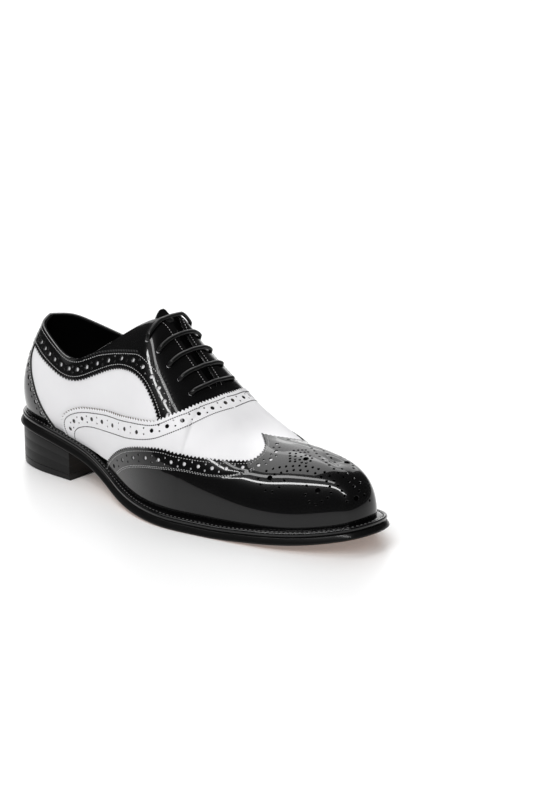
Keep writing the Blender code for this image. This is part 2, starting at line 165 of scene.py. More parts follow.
def ring_of_ribs():
    """The rib table as a closed curve in metres."""
    scale = Rib(LENGTH, BALL, BALL, MARGIN, LENGTH, BALL, BALL, INSTEP, 1, 1, 1, BALL)
    rows = np.array(RIB_TABLE) * np.array(scale)
    outer, inner = rows.copy(), rows[::-1].copy()
    outer[:, 1] = -rows[:, 1]
    inner[:, 1] = inner[:, 2]
    return periodic(np.vstack([outer[:-1], inner[:-1]]))


columns = ring_of_ribs()
profile = natural(*(np.array(SOLE) * (LENGTH, HEEL_LIFT)).T)
print("ridge over the welt at the throat:", columns(THROAT)[7].round(4))

# %% [markdown]
# ## The line of the sole
# Welt, outsole and heel all follow the feather line, where the upper meets the welt. It is
# read from the ribs and moved out by a distance. The frame's outsole shows where the shoe
# stands, so the last is shifted until both corners meet, and nothing is placed by eye.

# %% The line of the sole
SOLE_REACH = 1.6 * MM  # how far the outsole's edge stands out beyond the welt's margin


def sole_height(x):
    """Underside of the outsole over the floor."""
    return np.maximum(profile(x), 0)


def fold(t):
    """The same rib counted on the outer side."""
    t = np.asarray(t, float) % TURN
    return np.minimum(t, TURN - t)


def unit(vectors):
    """Vectors scaled to a length of one."""
    return vectors / np.maximum(np.linalg.norm(vectors, axis=-1, keepdims=True), 1e-12)


def outline(t, out=0.0, share=0.0):
    """Points round the sole, moved out from the feather line, and the way out."""
    at = columns(t)
    run = unit(columns(np.asarray(t) + 0.001)[..., :2] - columns(np.asarray(t) - 0.001)[..., :2])
    away = np.stack([run[..., 1], -run[..., 0]], -1)
    return at[..., :2] + away * (out + share * at[..., 3])[..., None], away


rim, _ = outline(np.linspace(0, TURN, 609), SOLE_REACH, 1.0)
SHIFT = np.array(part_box("outsole")[0][:]) - (*rim.min(0), 0)
SHIFT[2] = 0
print("the last stands", SHIFT.round(4), "from its own corner")

# %% [markdown]
# ## Creases
# Walking folds the leather over the joint of the toes, and the wing's double seam pulls it
# into a shallow channel. Both could be sculpted or bumped, but every piece that lies on the
# last has to dip with it, so they are soft troughs in the last itself, each laid along a
# short line.

# %% Creases
TALL = 6.0             # one step of v is about as long as this many ribs
GROOVE_DEPTH = 0.34 * MM
GROOVE_WIDTH = 0.12    # in ribs
CHANNEL = (
    (6.7, 0.055), (7.14, 0.105), (7.7, 0.15), (8.3, 0.19), (9.0, 0.232), (9.7, 0.272),
    (10.4, 0.305), (11.2, 0.332), (12.0, 0.372), (12.7, 0.43), (13.3, 0.51),
)
# ends of each fold in (t, v), its width in ribs, its depth
CREASES = (
    ((9.6, 0.34), (10.6, 0.62), 0.34, 0.35 * MM),
    ((10.5, 0.40), (11.5, 0.70), 0.30, 0.30 * MM),
    ((8.7, 0.30), (9.3, 0.46), 0.32, 0.22 * MM),
    ((6.2, 0.40), (7.6, 0.50), 0.45, 0.25 * MM),
    ((3.0, 0.45), (4.6, 0.58), 0.60, 0.30 * MM),
)


def smooth(low, high, x):
    """0 below low, 1 above high and an easy curve between."""
    s = np.clip((x - low) / (high - low), 0, 1)
    return s * s * (3 - 2 * s)


def gap_to(t, v, start, end):
    """How far places lie from a short line between two others, in ribs."""
    run = np.array([end[0] - start[0], (end[1] - start[1]) * TALL])
    a, b = fold(t) - start[0], (v - start[1]) * TALL
    share = np.clip((a * run[0] + b * run[1]) / (run @ run), 0, 1)
    return np.hypot(a - share * run[0], b - share * run[1])


def groove(t, v):
    """Depth of the channel under the wing's lower double seam, faded out at both ends."""
    nearest = np.minimum.reduce([gap_to(t, v, *ends) for ends in zip(CHANNEL, CHANNEL[1:])])
    fade = smooth(6.6, 8.0, fold(t)) * (1 - smooth(12.2, 13.4, fold(t)))
    return GROOVE_DEPTH * np.exp(-(nearest / GROOVE_WIDTH)**2) * fade


def crease(t, v):
    """Depth of the soft folds over the joint of the toes, and of the channel."""
    folds = sum(deep * np.exp(-(gap_to(t, v, start, end) / width)**2)
                for start, end, width, deep in CREASES)
    return folds + groove(t, v)


print("folds:", len(CREASES), "- deepest", max(deep for *_, deep in CREASES), "m")

# %% [markdown]
# ## The skin of the last
# Each rib is a curve with four control points: from the welt it bulges out, climbs and leans
# over to the ridge. A lofted surface would do the same, but a function can be asked for any
# point, however fine a piece is cut.

# %% The skin
CLOSING = 0.35         # ribs over which the gap between the facings closes at the throat
SADDLE = 0.16          # share of v over which the ridge of the vamp is rounded


def ridge_slope(t):
    """How steeply the ridge of the vamp falls towards the toe."""
    t = fold(t)
    last = (t > RIBS - 0.1)[..., None]
    ahead = np.where(last, columns(np.full(np.shape(t), RIBS - 0.05)), columns(t + 0.05))
    back = np.where(last, columns(np.full(np.shape(t), RIBS - 0.4)), columns(t - 0.05))
    run = ahead[..., 4] - back[..., 4]
    climb = sole_height(ahead[..., 0]) + ahead[..., 7] - (sole_height(back[..., 0]) + back[..., 7])
    return climb / np.where(np.abs(run) < 1e-6, 1e-6, run)


def on_last(t, v):
    """Points of the last's skin."""
    t, v = np.broadcast_arrays(np.asarray(t, float), np.asarray(v, float))
    rib = Rib(*np.moveaxis(columns(t), -1, 0))
    foot, away = outline(t)
    level = sole_height(foot[..., 0]) + OUTSOLE + WELT + CLEAR
    side = np.where(t % TURN < RIBS, -1.0, 1.0)
    half = rib.gap * np.sqrt(np.clip((THROAT - fold(t)) / CLOSING, 0, 1))
    early, late = 3 * (1 - v)**2 * v, 3 * (1 - v) * v**2
    lean = late * rib.w2 + v**3
    climb = early * rib.h1 + late * rib.h2 + v**3
    puff = rib.swell * np.sin(np.pi * v) * np.sqrt(np.maximum(1 - v, 0))
    x = foot[..., 0] + (rib.top - foot[..., 0]) * lean + away[..., 0] * puff
    y = foot[..., 1] + (rib.mid + side * half - foot[..., 1]) * lean + away[..., 1] * puff
    fall = ridge_slope(t) * (rib.top - foot[..., 0]) * (3 - 3 * rib.w2)
    soft = fall * (1 - v) * np.exp(-((1 - v) / SADDLE)**2) * smooth(8.8, 10.2, fold(t))
    dent = crease(t, v) * np.sin(np.pi * v)
    x, y = x - away[..., 0] * dent, y - away[..., 1] * dent
    return np.stack([x, y, level + rib.rise * climb - soft - 0.6 * dent], -1) + SHIFT


print("top of the throat:", on_last(THROAT, 1.0).round(4))

# %% [markdown]
# ## Which way is out
# Each layer of leather lies a little further out than the one below, so the way out has to be
# known anywhere on the skin. Face normals of a mesh would only be rough, so the normal comes
# from two small steps on the skin itself. On the ridge both sides share one normal, or the
# leather would split there.

# %% Normals
def directions(t, v):
    """The skin's steps along t and along v, and its unit normal."""
    t, v = np.broadcast_arrays(np.asarray(t, float), np.asarray(v, float))
    step = 0.004
    inside = np.clip(v, step, 1 - 3 * step)
    along = (on_last(t + step, inside) - on_last(t - step, inside)) / (2 * step)
    up = (on_last(t, inside + step) - on_last(t, inside - step)) / (2 * step)
    return along, up, unit(np.cross(along, up))


def normals(t, v):
    """Unit normals of the skin, shared by both sides where they meet on the ridge."""
    t, v = np.broadcast_arrays(np.asarray(t, float), np.asarray(v, float))
    share = (smooth(0.93, 1.0, v) * (fold(t) >= THROAT))[..., None]
    return unit(directions(t, v)[2] + share * directions(TURN - t, v)[2])


print("way out at the throat:", normals(THROAT, 1.0).round(3))

# %% [markdown]
# ## Ways to walk on the last
# Seams, holes and stitches all follow lines on the foot. A line is a few (t, v) places; it is
# walked in even steps of real length, and moved aside by real millimetres. Even steps in t
# would be simpler, but the same step is longer at the ball than at the heel.

# %% Walking on the last
def flat_step(along, up, push):
    """The (t, v) step that moves a point of the skin by a real vector."""
    aa, ab, bb = (along * along).sum(-1), (along * up).sum(-1), (up * up).sum(-1)
    pa, pb = (push * along).sum(-1), (push * up).sum(-1)
    det = np.maximum(aa * bb - ab * ab, 1e-12)
    return np.stack([(pa * bb - pb * ab) / det, (pb * aa - pa * ab) / det], -1)


def aside(places, distance):
    """Places moved across a line on the skin, to its left, by a real distance."""
    t, v = np.asarray(places, float).T
    along, up, normal = directions(t, v)
    run = unit(np.gradient(on_last(t, v), axis=0))
    push = np.cross(normal, run) * np.reshape(distance, (-1, 1))
    return places + flat_step(along, up, push)


def walk(knots, pitch, off=0.0, start=0.0, end=0.0):
    """Places in even real steps along a smooth line through knots."""
    knots = np.array(knots, float)
    u = np.arange(len(knots))
    fine = natural(u, knots)(np.linspace(0, u[-1], 30 * len(knots)))
    if off:
        fine = aside(fine, off)
    at = on_last(*fine.T)
    length = np.concatenate([[0], np.cumsum(np.linalg.norm(np.diff(at, axis=0), axis=1))])
    count = max(2, round((length[-1] - start - end) / pitch) + 1)
    where = np.linspace(start, length[-1] - end, count)
    return np.column_stack([np.interp(where, length, fine[:, i]) for i in range(2)])


def mate(places):
    """The same places on the other side of the shoe, in the other order."""
    places = np.array(places, float)[::-1]
    return np.column_stack([TURN - places[:, 0], places[:, 1]])


def behind(places):
    """The same places across the back of the heel, in the other order."""
    places = np.array(places, float)[::-1]
    return places * (-1, 1)


print("steps of 5 mm up the throat:", len(walk(((THROAT, 0.0), (THROAT, 1.0)), 5 * MM)))

# %% [markdown]
# ## Pinked edges
# A pinking iron cuts the edges of a brogue into small teeth. A displacement would only ripple
# the wall, so the outline itself zigzags: it is walked in half teeth, and every second place
# is pushed out.

# %% Pinked edges
TEETH = 2.8 * MM
TOOTH_DEPTH = 1.45 * MM


def gimped(knots, side=1):
    """A pinked edge: every second place stands out as the point of a tooth."""
    places = walk(knots, TEETH / 2)
    points = aside(places, side * TOOTH_DEPTH)
    places[1::2] = points[1::2]
    return places


print("a tooth every", TEETH, "m, deep", TOOTH_DEPTH, "m")

# %% [markdown]
# ## Cutting leather
# A clicker cuts flat leather with knives and punches, and only then is it pulled over the
# last. Cutting the curved piece would need curved tools and leave ragged faces, so the same
# order is kept here: a flat slab in (t, v) is cut by Booleans with an outline and punches.

# %% Sheets and knives
PER_RIB = 8            # steps of a sheet from rib to rib


def carve(body, tool, operation):
    """Body with a tool's shape kept or removed."""
    change = body.modifiers.new("cut", "BOOLEAN")
    change.operation, change.solver, change.object = operation, "MANIFOLD", tool
    ready = body.evaluated_get(bpy.context.evaluated_depsgraph_get())
    mesh = bpy.data.meshes.new_from_object(ready)
    body.modifiers.remove(change)
    bpy.data.objects.remove(tool)
    body.data = mesh


def as_object(name, bm):
    """A new object from a bmesh, linked to the scene."""
    mesh = bpy.data.meshes.new(name)
    bm.to_mesh(mesh)
    bm.free()
    piece = bpy.data.objects.new(name, mesh)
    bpy.context.scene.collection.objects.link(piece)
    return piece


def raise_flat(bm, low, high):
    """Extrude the flat faces of a bmesh into a closed slab between two levels."""
    bmesh.ops.translate(bm, verts=bm.verts, vec=(0, 0, low))
    made = bmesh.ops.extrude_face_region(bm, geom=bm.faces[:])["geom"]
    raised = [item for item in made if isinstance(item, bmesh.types.BMVert)]
    bmesh.ops.translate(bm, verts=raised, vec=(0, 0, high - low))
    bmesh.ops.recalc_face_normals(bm, faces=bm.faces[:])


def flat_grid(start, end, steps, rows):
    """A flat grid over a stretch of ribs, as a bmesh."""
    bm = bmesh.new()
    place = (Matrix.Translation(((start + end) / 2, TALL / 2, 0))
             @ Matrix.Diagonal((end - start, TALL, 1, 1)))
    bmesh.ops.create_grid(bm, x_segments=steps, y_segments=rows, size=0.5, matrix=place)
    return bm


def sheet(start, end, rows):
    """A flat sheet of leather over a stretch of ribs, as a thin slab."""
    bm = flat_grid(start, end, round((end - start) * PER_RIB), rows)
    raise_flat(bm, 0, 1)
    return as_object("sheet", bm)


def knife(*outlines):
    """Upright walls along closed outlines, to cut a sheet with."""
    bm = bmesh.new()
    for places in outlines:
        corners = [bm.verts.new((t, v * TALL, 0)) for t, v in places]
        bm.faces.new(corners)
    raise_flat(bm, -1, 2)
    return as_object("knife", bm)


print("a sheet is drawn", TALL, "times taller than v")

# %% [markdown]
# ## Punches
# Drawn flat, a round hole would come out as an oval on the foot. Each punch is therefore a
# cone with equal ends whose matrix is squeezed by the skin's own steps, so that it is round
# once the leather is lasted. Small holes get fewer sides than large ones.

# %% Punches
def punches(rounds):
    """Round punches, each (t, v, radius), that stay round on the curved shoe."""
    bm = bmesh.new()
    t, v, radius = np.array(rounds, float).T
    along, up, normal = directions(t, v)
    first = unit(along)
    one, two = flat_step(along, up, first), flat_step(along, up, np.cross(normal, first))
    for i in range(len(t)):
        place = Matrix(((one[i, 0], two[i, 0], 0, t[i]),
                        (one[i, 1] * TALL, two[i, 1] * TALL, 0, v[i] * TALL),
                        (0, 0, 1, 0.5), (0, 0, 0, 1)))
        segments = 16 if radius[i] > 0.7 * MM else 8
        bmesh.ops.create_cone(bm, cap_ends=True, segments=segments, radius1=radius[i],
                              radius2=radius[i], depth=4, matrix=place)
    bmesh.ops.recalc_face_normals(bm, faces=bm.faces[:])
    return as_object("punches", bm)


def cut(body):
    """The top face of a cut slab, flat again."""
    bm = bmesh.new()
    bm.from_mesh(body.data)
    bpy.data.objects.remove(body)
    rest = [face for face in bm.faces
            if abs(face.normal.z) < 0.9 or face.calc_center_median().z < 0.5]
    bmesh.ops.delete(bm, geom=rest, context="FACES")
    bmesh.ops.triangulate(bm, faces=bm.faces[:])
    return bm


def cut_sheet(span, outlines, holes=(), rows=40):
    """A sheet over a stretch of ribs, cut along outlines and punched, as a flat bmesh."""
    body = sheet(*span, rows=rows)
    carve(body, knife(*outlines), "INTERSECT")
    if len(holes):
        carve(body, punches(holes), "DIFFERENCE")
    return cut(body)


print("punches have 16 or 8 sides")

# %% [markdown]
# ## Lasting
# Lasting pulls the cut piece over the last. A Shrinkwrap modifier would press it on a mesh and
# stretch it at the edges. Here every point already knows its (t, v) place, so it is simply
# laid there, and where both sides meet on the ridge their points are joined.

# %% Lasting
WELD = 2e-6            # points nearer than this are joined


def lay(bm, low):
    """Lay a flat bmesh on the last at a height, and join what meets on the ridge or the back."""
    rib, up = bm.verts.layers.float.new("rib"), bm.verts.layers.float.new("up")
    flat = np.array([vert.co[:] for vert in bm.verts])
    t, v = flat[:, 0], np.clip(flat[:, 1] / TALL, 0, 1)
    at = on_last(t, v) + normals(t, v) * low
    for vert, place, a, b in zip(bm.verts, at, t, v):
        vert.co, vert[rib], vert[up] = place, a, b
    bmesh.ops.remove_doubles(bm, verts=bm.verts[:], dist=WELD)
    bmesh.ops.dissolve_degenerate(bm, edges=bm.edges[:], dist=WELD)
    bmesh.ops.recalc_face_normals(bm, faces=bm.faces[:])
    face = max(bm.faces, key=lambda f: f.calc_area())
    t, v = np.mean([(vert[rib], vert[up]) for vert in face.verts], axis=0)
    if face.normal.dot(Vector(normals(t, v))) < 0:
        bmesh.ops.reverse_faces(bm, faces=bm.faces[:])


print("points are joined within", WELD, "m")

# %% [markdown]
# ## The last's own normals
# Polished leather shows every uneven normal as a bent reflection, and a punched sheet is full
# of long thin triangles. More faces would only make them smaller. So every face that lies
# along the skin takes its normals from the last, and only the cut walls keep their own.

# %% Normals of a lasted piece
ALONG = 0.86           # above this cosine a face lies along the skin


def rib_and_up(mesh):
    """The (t, v) place of every point of a lasted mesh."""
    found = np.zeros((2, len(mesh.vertices)))
    for values, name in zip(found, ("rib", "up")):
        mesh.attributes[name].data.foreach_get("value", values)
    return found


def shade(mesh):
    """Smooth faces, with normals taken from the last wherever a face lies along it."""
    mesh.shade_smooth()
    skin = normals(*rib_and_up(mesh))
    corner = np.zeros(len(mesh.loops), int)
    mesh.loops.foreach_get("vertex_index", corner)
    face = np.zeros(len(mesh.polygons) * 3)
    mesh.polygons.foreach_get("normal", face)
    size = np.zeros(len(mesh.polygons), int)
    mesh.polygons.foreach_get("loop_total", size)
    face = np.repeat(face.reshape(-1, 3), size, axis=0)
    along = (face * skin[corner]).sum(1)[:, None]
    chosen = np.where(along > ALONG, skin[corner], np.where(along < -ALONG, -skin[corner], face))
    mesh.normals_split_custom_set(chosen.tolist())


print("faces within", round(math.degrees(math.acos(ALONG))), "degrees of the skin are smoothed")

# %% [markdown]
# ## Thickness
# A sheet is extruded to its thickness, and its top edge is inset and lowered, which gives the
# fine bright line that a cut edge catches. A Solidify modifier would thicken it too, but it
# would not know the last's normals at the edge.

# %% Thickness
def skin_under(verts, layers):
    """Normals of the last under points of a bmesh."""
    return normals(*np.array([[vert[layer] for layer in layers] for vert in verts]).T)


def leather(name, bm, low, high, edge=0.25 * MM):
    """Last a flat bmesh and give it its thickness and a softened top edge."""
    lay(bm, low)
    layers = [bm.verts.layers.float[key] for key in ("rib", "up")]
    made = bmesh.ops.extrude_face_region(bm, geom=bm.faces[:])["geom"]
    raised = [item for item in made if isinstance(item, bmesh.types.BMVert)]
    top = [item for item in made if isinstance(item, bmesh.types.BMFace)]
    for vert, normal in zip(raised, skin_under(raised, layers)):
        vert.co += Vector(normal * (high - low))
    bmesh.ops.recalc_face_normals(bm, faces=bm.faces[:])
    skin = skin_under([face.verts[0] for face in top], layers)
    if (skin * [face.normal[:] for face in top]).sum() < 0:
        bmesh.ops.reverse_faces(bm, faces=bm.faces[:])
    if edge:
        inset = bmesh.ops.inset_region(bm, faces=top, thickness=edge,
                                       use_even_offset=False)["faces"]
        kept = set(top)
        outer = {vert for face in inset for vert in face.verts
                 if not any(near in kept for near in vert.link_faces)}
        outer = sorted(outer, key=lambda vert: vert.index)
        for vert, normal in zip(outer, skin_under(outer, layers)):
            vert.co -= Vector(normal * edge * 0.8)
    piece = as_object(name, bm)
    shade(piece.data)
    print(f"{name}: {len(piece.data.polygons)} faces")
    return piece


print("a cut edge is softened over", 0.25 * MM, "m")

# %% [markdown]
# ## Shader maths
# A finish is a small graph of nodes, and it could be wired link by link. Wrapping a socket in
# a class lets the graph be written as ordinary sums instead, which is easier to read: each
# sum adds its own Math node.

# %% Shader maths
class Value:
    """A number that a node gives, ready for sums."""

    def __init__(self, finish, socket):
        self.finish, self.socket = finish, socket

    def maths(self, operation, a, b=0.0):
        return self.finish.node("Math", {"operation": operation}, {0: a, 1: b})["Value"]

    def __add__(self, other):
        return self.maths("ADD", self, other)

    def __radd__(self, other):
        return self.maths("ADD", other, self)

    def __sub__(self, other):
        return self.maths("SUBTRACT", self, other)

    def __rsub__(self, other):
        return self.maths("SUBTRACT", other, self)

    def __mul__(self, other):
        return self.maths("MULTIPLY", self, other)

    def __rmul__(self, other):
        return self.maths("MULTIPLY", other, self)

    def sine(self):
        return self.maths("SINE", self)


print("sums on sockets: +, -, *, sine")

# %% [markdown]
# ## Finishes
# A finish is a Principled shader with a few patterns on Object coordinates. One class holds
# the calls that every finish needs, and one method makes every node, its settings first,
# because a setting can change which sockets the node has.

# %% Finishes
class Finish:
    """A material on the Principled shader, built from a few plain calls."""

    def __init__(self, name, colour, roughness, **constants):
        self.material = bpy.data.materials.new(name)
        self.material.use_nodes = True
        self.tree = self.material.node_tree
        self.shader = self.tree.nodes["Principled BSDF"]
        self.set("Base Color", (*colour, 1))
        self.set("Roughness", roughness)
        for key, value in constants.items():
            self.set(key.replace("_", " "), value)
        self.where = self.node("TexCoord")["Object"]

    def set(self, name, value):
        """Give one of the shader's own sockets a constant or a link."""
        self.plug(self.shader.inputs[name], value)

    def plug(self, socket, value):
        if isinstance(value, Value):
            self.tree.links.new(value.socket, socket)
        else:
            socket.default_value = value

    def node(self, kind, settings=None, values=None):
        """A node of a kind, its settings first and then its sockets; gives its outputs by name."""
        prefix = "" if kind.startswith("Shader") else "ShaderNode"
        made = self.tree.nodes.new(prefix + kind)
        for key, value in (settings or {}).items():
            setattr(made, key, value)
        for key, value in (values or {}).items():
            self.plug(made.inputs[key], value)
        return {out.name: Value(self, out) for out in made.outputs if out.enabled}

    def noise(self, size, detail=2.0, rough=0.5):
        """Even noise whose patches are about a size across."""
        values = {"Vector": self.where, "Scale": 1 / size, "Detail": detail, "Roughness": rough}
        return self.node("TexNoise", None, values)["Fac"]

    def blend(self, share, first, second):
        """A colour between two others."""
        values = {"Factor": share, "A": (*first, 1), "B": (*second, 1)}
        made = self.tree.nodes.new("ShaderNodeMix")
        made.data_type = "RGBA"
        for socket in made.inputs:
            if socket.enabled and socket.name in values:
                self.plug(socket, values[socket.name])
        return Value(self, next(out for out in made.outputs if out.enabled))

    def bump(self, height, distance, strength=1.0, under=None):
        """Raise the surface by a height pattern."""
        values = {"Height": height, "Distance": distance, "Strength": strength}
        if under:
            values["Normal"] = under
        return self.node("Bump", None, values)["Normal"]


print("patterns: noise, blend, bump")

# %% [markdown]
# ## The two leathers
# The white one is smooth calf with the faintest pores, and a slightly warmer or greyer patch
# here and there. The black one is polished until it mirrors the room. A low roughness alone
# would look like plastic, so it has a clear coat over a dark base and only a slow ripple
# under it.

# %% White and black leather
def white_leather():
    finish = Finish("white_leather", (0.86, 0.86, 0.87), 0.48, Coat_Weight=0.06, Coat_Roughness=0.3)
    cloud = finish.noise(0.03, 3.0)
    pores = finish.noise(0.0007, 4.0, 0.6)
    finish.set("Base Color", finish.blend(cloud, (0.80, 0.79, 0.81), (0.89, 0.89, 0.90)))
    finish.set("Roughness", 0.42 + 0.14 * cloud + 0.06 * pores)
    soft = finish.bump(finish.noise(0.012, 1.0), 0.0003, 0.25)
    finish.set("Normal", finish.bump(pores, 0.00006, 0.5, soft))
    return finish.material


def black_leather():
    roughness = 0.20
    finish = Finish("black_leather", (0.003, 0.003, 0.003), roughness, Coat_Weight=1.0,
                    Coat_Roughness=0.035, Coat_IOR=1.4, Specular_IOR_Level=0.08)
    cloud = finish.noise(0.02, 3.0)
    pores = finish.noise(0.0006, 4.0, 0.6)
    finish.set("Base Color",
               finish.blend(cloud, (0.0015, 0.0015, 0.0016), (0.0045, 0.0045, 0.0048)))
    finish.set("Roughness", roughness + 0.10 * pores)
    ripple = finish.bump(finish.noise(0.008, 1.0), 0.0002, 0.10)
    finish.set("Normal", finish.bump(pores, 0.00005, 0.5, ripple))
    return finish.material


WHITE = white_leather()
BLACK = black_leather()
print("leathers:", WHITE.name, BLACK.name)

# %% [markdown]
# ## Lining, cut edges and thread
# The lining is matt and almost black, so that it shows no light inside: its black is the
# lining's own colour and painted shade inside the shoe together. A cut edge bares the raw
# fibre of the hide, here darkened as painted shade along the pinked teeth. Thread is too thin
# to show its twist, so a fine noise breaks up its colour, and an image of twisted thread would
# add nothing.

# %% Lining, edges and thread
def lining_and_shade_finish():
    # near black and without shine: the lining's own black, and painted shade inside the shoe and
    # behind the vamp's holes
    finish = Finish("lining", (0.002, 0.002, 0.002), 0.85, Specular_IOR_Level=0.03)
    nap = finish.noise(0.0005, 4.0, 0.7)
    finish.set("Base Color", finish.blend(nap, (0.0012, 0.0012, 0.0013), (0.0032, 0.0032, 0.0033)))
    finish.set("Roughness", 0.68 + 0.2 * nap)
    finish.set("Normal", finish.bump(nap, 0.0001, 0.6))
    return finish.material


def raw_edge_and_shade_finish():
    # the raw fibre's colour, darkened as painted shade along the vamp's pinked teeth
    finish = Finish("raw_edge_and_shade", (0.16, 0.145, 0.13), 0.7)
    fibre = finish.noise(0.0004, 4.0, 0.7)
    finish.set("Base Color", finish.blend(fibre, (0.09, 0.08, 0.07), (0.24, 0.22, 0.20)))
    finish.set("Normal", finish.bump(fibre, 0.0001, 0.6))
    return finish.material


def thread(name, colour, dark):
    finish = Finish(name, colour, 0.55)
    twist = finish.noise(0.0003, 2.0)
    finish.set("Base Color", finish.blend(twist, dark, colour))
    finish.set("Normal", finish.bump(twist, 0.00006, 0.6))
    return finish.material


LINING_AND_SHADE = lining_and_shade_finish()
RAW_EDGE_AND_SHADE = raw_edge_and_shade_finish()
PALE_THREAD = thread("pale_thread", (0.62, 0.62, 0.62), (0.34, 0.34, 0.34))
DARK_THREAD = thread("dark_thread", (0.014, 0.013, 0.013), (0.005, 0.005, 0.005))
WELT_THREAD = thread("welt_thread", (0.16, 0.16, 0.16), (0.05, 0.05, 0.05))
print("finishes so far:", len(bpy.data.materials))

# %% [markdown]
# ## Dressing a piece
# Every piece gets its finishes and the body that it rides on. The cut walls of a white piece
# show raw leather, darkened as painted shade along the teeth: a wall is known by its normal,
# which lies across the skin's, so no face has to be picked by hand.

# %% Dressing
def dress(piece, slot, *materials):
    """Give a piece its finishes and its body; the slot is not used."""
    for material in materials:
        piece.data.materials.append(material)
    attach(piece, "root")


def face_places(mesh):
    """The middle (t, v) of every face of a lasted mesh, and how squarely it faces outwards."""
    rib, up = rib_and_up(mesh)
    corners = [list(face.vertices) for face in mesh.polygons]
    t, v = (np.array([values[corner].mean() for corner in corners]) for values in (rib, up))
    return t, v, (normals(t, v) * [face.normal[:] for face in mesh.polygons]).sum(1)


def paint_walls(mesh):
    """Give the cut walls of a lasted piece its second finish."""
    facing = face_places(mesh)[2]
    mesh.polygons.foreach_set("material_index", (np.abs(facing) < 0.4).astype(int))


print("bodies to ride on: root")

# %% [markdown]
# ## The seam lines
# Every overlay has one line that matters: its pinked edge. It could be a curve object that is
# wrapped on the last, but a few (t, v) places do the same. They are drawn once for the outer
# side and mirrored for the inner one.

# %% Seam lines
VAMP_EDGE = (
    (4.08, -0.02), (4.0, 0.16), (4.24, 0.317), (4.8, 0.412), (5.4, 0.41), (6.0, 0.38),
    (6.8, 0.345), (7.64, 0.367), (8.36, 0.417), (8.92, 0.483), (9.52, 0.608), (9.8, 0.69),
    (10.14, 0.833), (10.42, 1.02),
)
VAMP_LOW = (
    (4.44, 0.0), (4.48, 0.108), (4.68, 0.2), (5.04, 0.255), (5.52, 0.27), (6.28, 0.258),
    (7.16, 0.258), (8.0, 0.30), (8.68, 0.358), (9.24, 0.433), (9.92, 0.565), (10.5, 0.74),
    (10.86, 0.9), (11.1, 1.0),
)
WING_EDGE = (
    (5.82, -0.03), (5.92, 0.017), (6.12, 0.075), (6.56, 0.142), (7.24, 0.2), (8.04, 0.258),
    (8.72, 0.308), (9.36, 0.35), (9.96, 0.375), (11.2, 0.442), (12.2, 0.508), (13.0, 0.572),
    (13.38, 0.64), (13.62, 0.72), (13.72, 0.8), (13.66, 0.9), (13.35, 1.01),
)
BAND_LOW = (
    (0.0, 0.72), (0.9, 0.742), (1.56, 0.77), (2.1, 0.775), (2.7, 0.76), (3.3, 0.745), (3.92, 0.725),
    (4.6, 0.73), (5.22, 0.73), (5.82, 0.69), (6.3, 0.638), (6.8, 0.592), (7.3, 0.574), (7.8, 0.57),
    (8.25, 0.552), (8.6, 0.52), (8.85, 0.48), (9.0, 0.43),
)
BAND_HIGH = (
    (4.6, 1.04), (4.9, 0.99), (5.28, 0.958), (5.6, 0.895), (5.9, 0.825), (6.25, 0.755),
    (6.7, 0.70), (7.2, 0.682), (7.7, 0.682), (8.2, 0.694), (8.6, 0.684), (8.95, 0.656),
    (9.22, 0.60), (9.32, 0.53), (9.3, 0.47),
)
COUNTER_EDGE = (
    (1.5, 0.84), (1.66, 0.77), (1.8, 0.675), (2.08, 0.595), (2.36, 0.515), (2.64, 0.43),
    (2.86, 0.345), (3.06, 0.26), (3.28, 0.15), (3.5, 0.05), (3.62, -0.03),
)
print("seam lines: 6")

# %% [markdown]
# ## The shell
# Quarters and lining come first: one skin all round the foot, open at the collar and between
# the facings. Two thin shells could fight for the same place, so one slab carries both: its
# outside shows as the white quarters and its inside as the black lining. Under the white vamp
# it is black too, as painted shade, so that the vamp's punched holes read dark.

# %% Shell
def shell():
    piece = leather("quarters", flat_grid(0, TURN, TURN * PER_RIB, 44), -WALL, 0.0, edge=0)
    t, v, facing = face_places(piece.data)
    # faces under the white vamp take the black lining finish: painted shade for the vamp's holes
    under = (fold(t) > 4.6) & (v < np.interp(fold(t), *np.array(VAMP_EDGE).T) - 0.03)
    piece.data.polygons.foreach_set("material_index", ((facing < 0.5) | under).astype(int))
    dress(piece, "white_leather", WHITE, LINING_AND_SHADE)
    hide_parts("upper")
    return piece


quarters = shell()

# %% [markdown]
# ## Rows of holes
# A brogue's border is a row of large holes with a pair of small ones between each two. An
# array along a curve would space them evenly, but a maker fits them to the seam, so the large
# ones are placed and the small ones follow from them.

# %% Rows of holes
BIG = 1.5 * MM
SMALL = 0.65 * MM


def between(places, off):
    """Places halfway between neighbours, moved to both sides of their line."""
    places = np.array(places, float)
    middle = (places[1:] + places[:-1]) / 2
    return np.vstack([aside(middle, off), aside(middle, -off)])


def both(places):
    """Places on the outer side and on the inner side."""
    return np.vstack([places, mate(places)])


def rounds(places, radius):
    """Punches of one size."""
    return [(t, v, radius) for t, v in places]


def row_of_holes(places, off=2.1 * MM, big=BIG, small=SMALL):
    """Large holes with a pair of small ones between each two."""
    return rounds(both(places), big) + rounds(both(between(places, off)), small)


print("radius of the holes:", BIG, SMALL)

# %% [markdown]
# ## Vamp
# The white vamp covers the front of the foot. Its top edge is pinked and lies over the black
# facings. Each overlay is one sheet, cut and lasted a little higher than the leather that it
# covers, because pieces at one height would flicker through each other.

# %% Vamp
# height of each leather's top over the shell
FACING_TOP, COUNTER_TOP, BAND_TOP = 0.75 * MM, 1.0 * MM, 1.25 * MM
VAMP_TOP, WING_TOP = 1.45 * MM, 2.3 * MM
RIDGE = 1.1            # a v beyond the ridge, where both halves of an outline meet
VAMP_HOLES = (
    (4.32, 0.14), (4.54, 0.265), (4.92, 0.325), (5.36, 0.335), (5.84, 0.32), (6.42, 0.298),
    (7.2, 0.298), (7.94, 0.33), (8.66, 0.40), (9.24, 0.485), (9.72, 0.58), (10.12, 0.69),
    (10.42, 0.81), (10.66, 0.955),
)


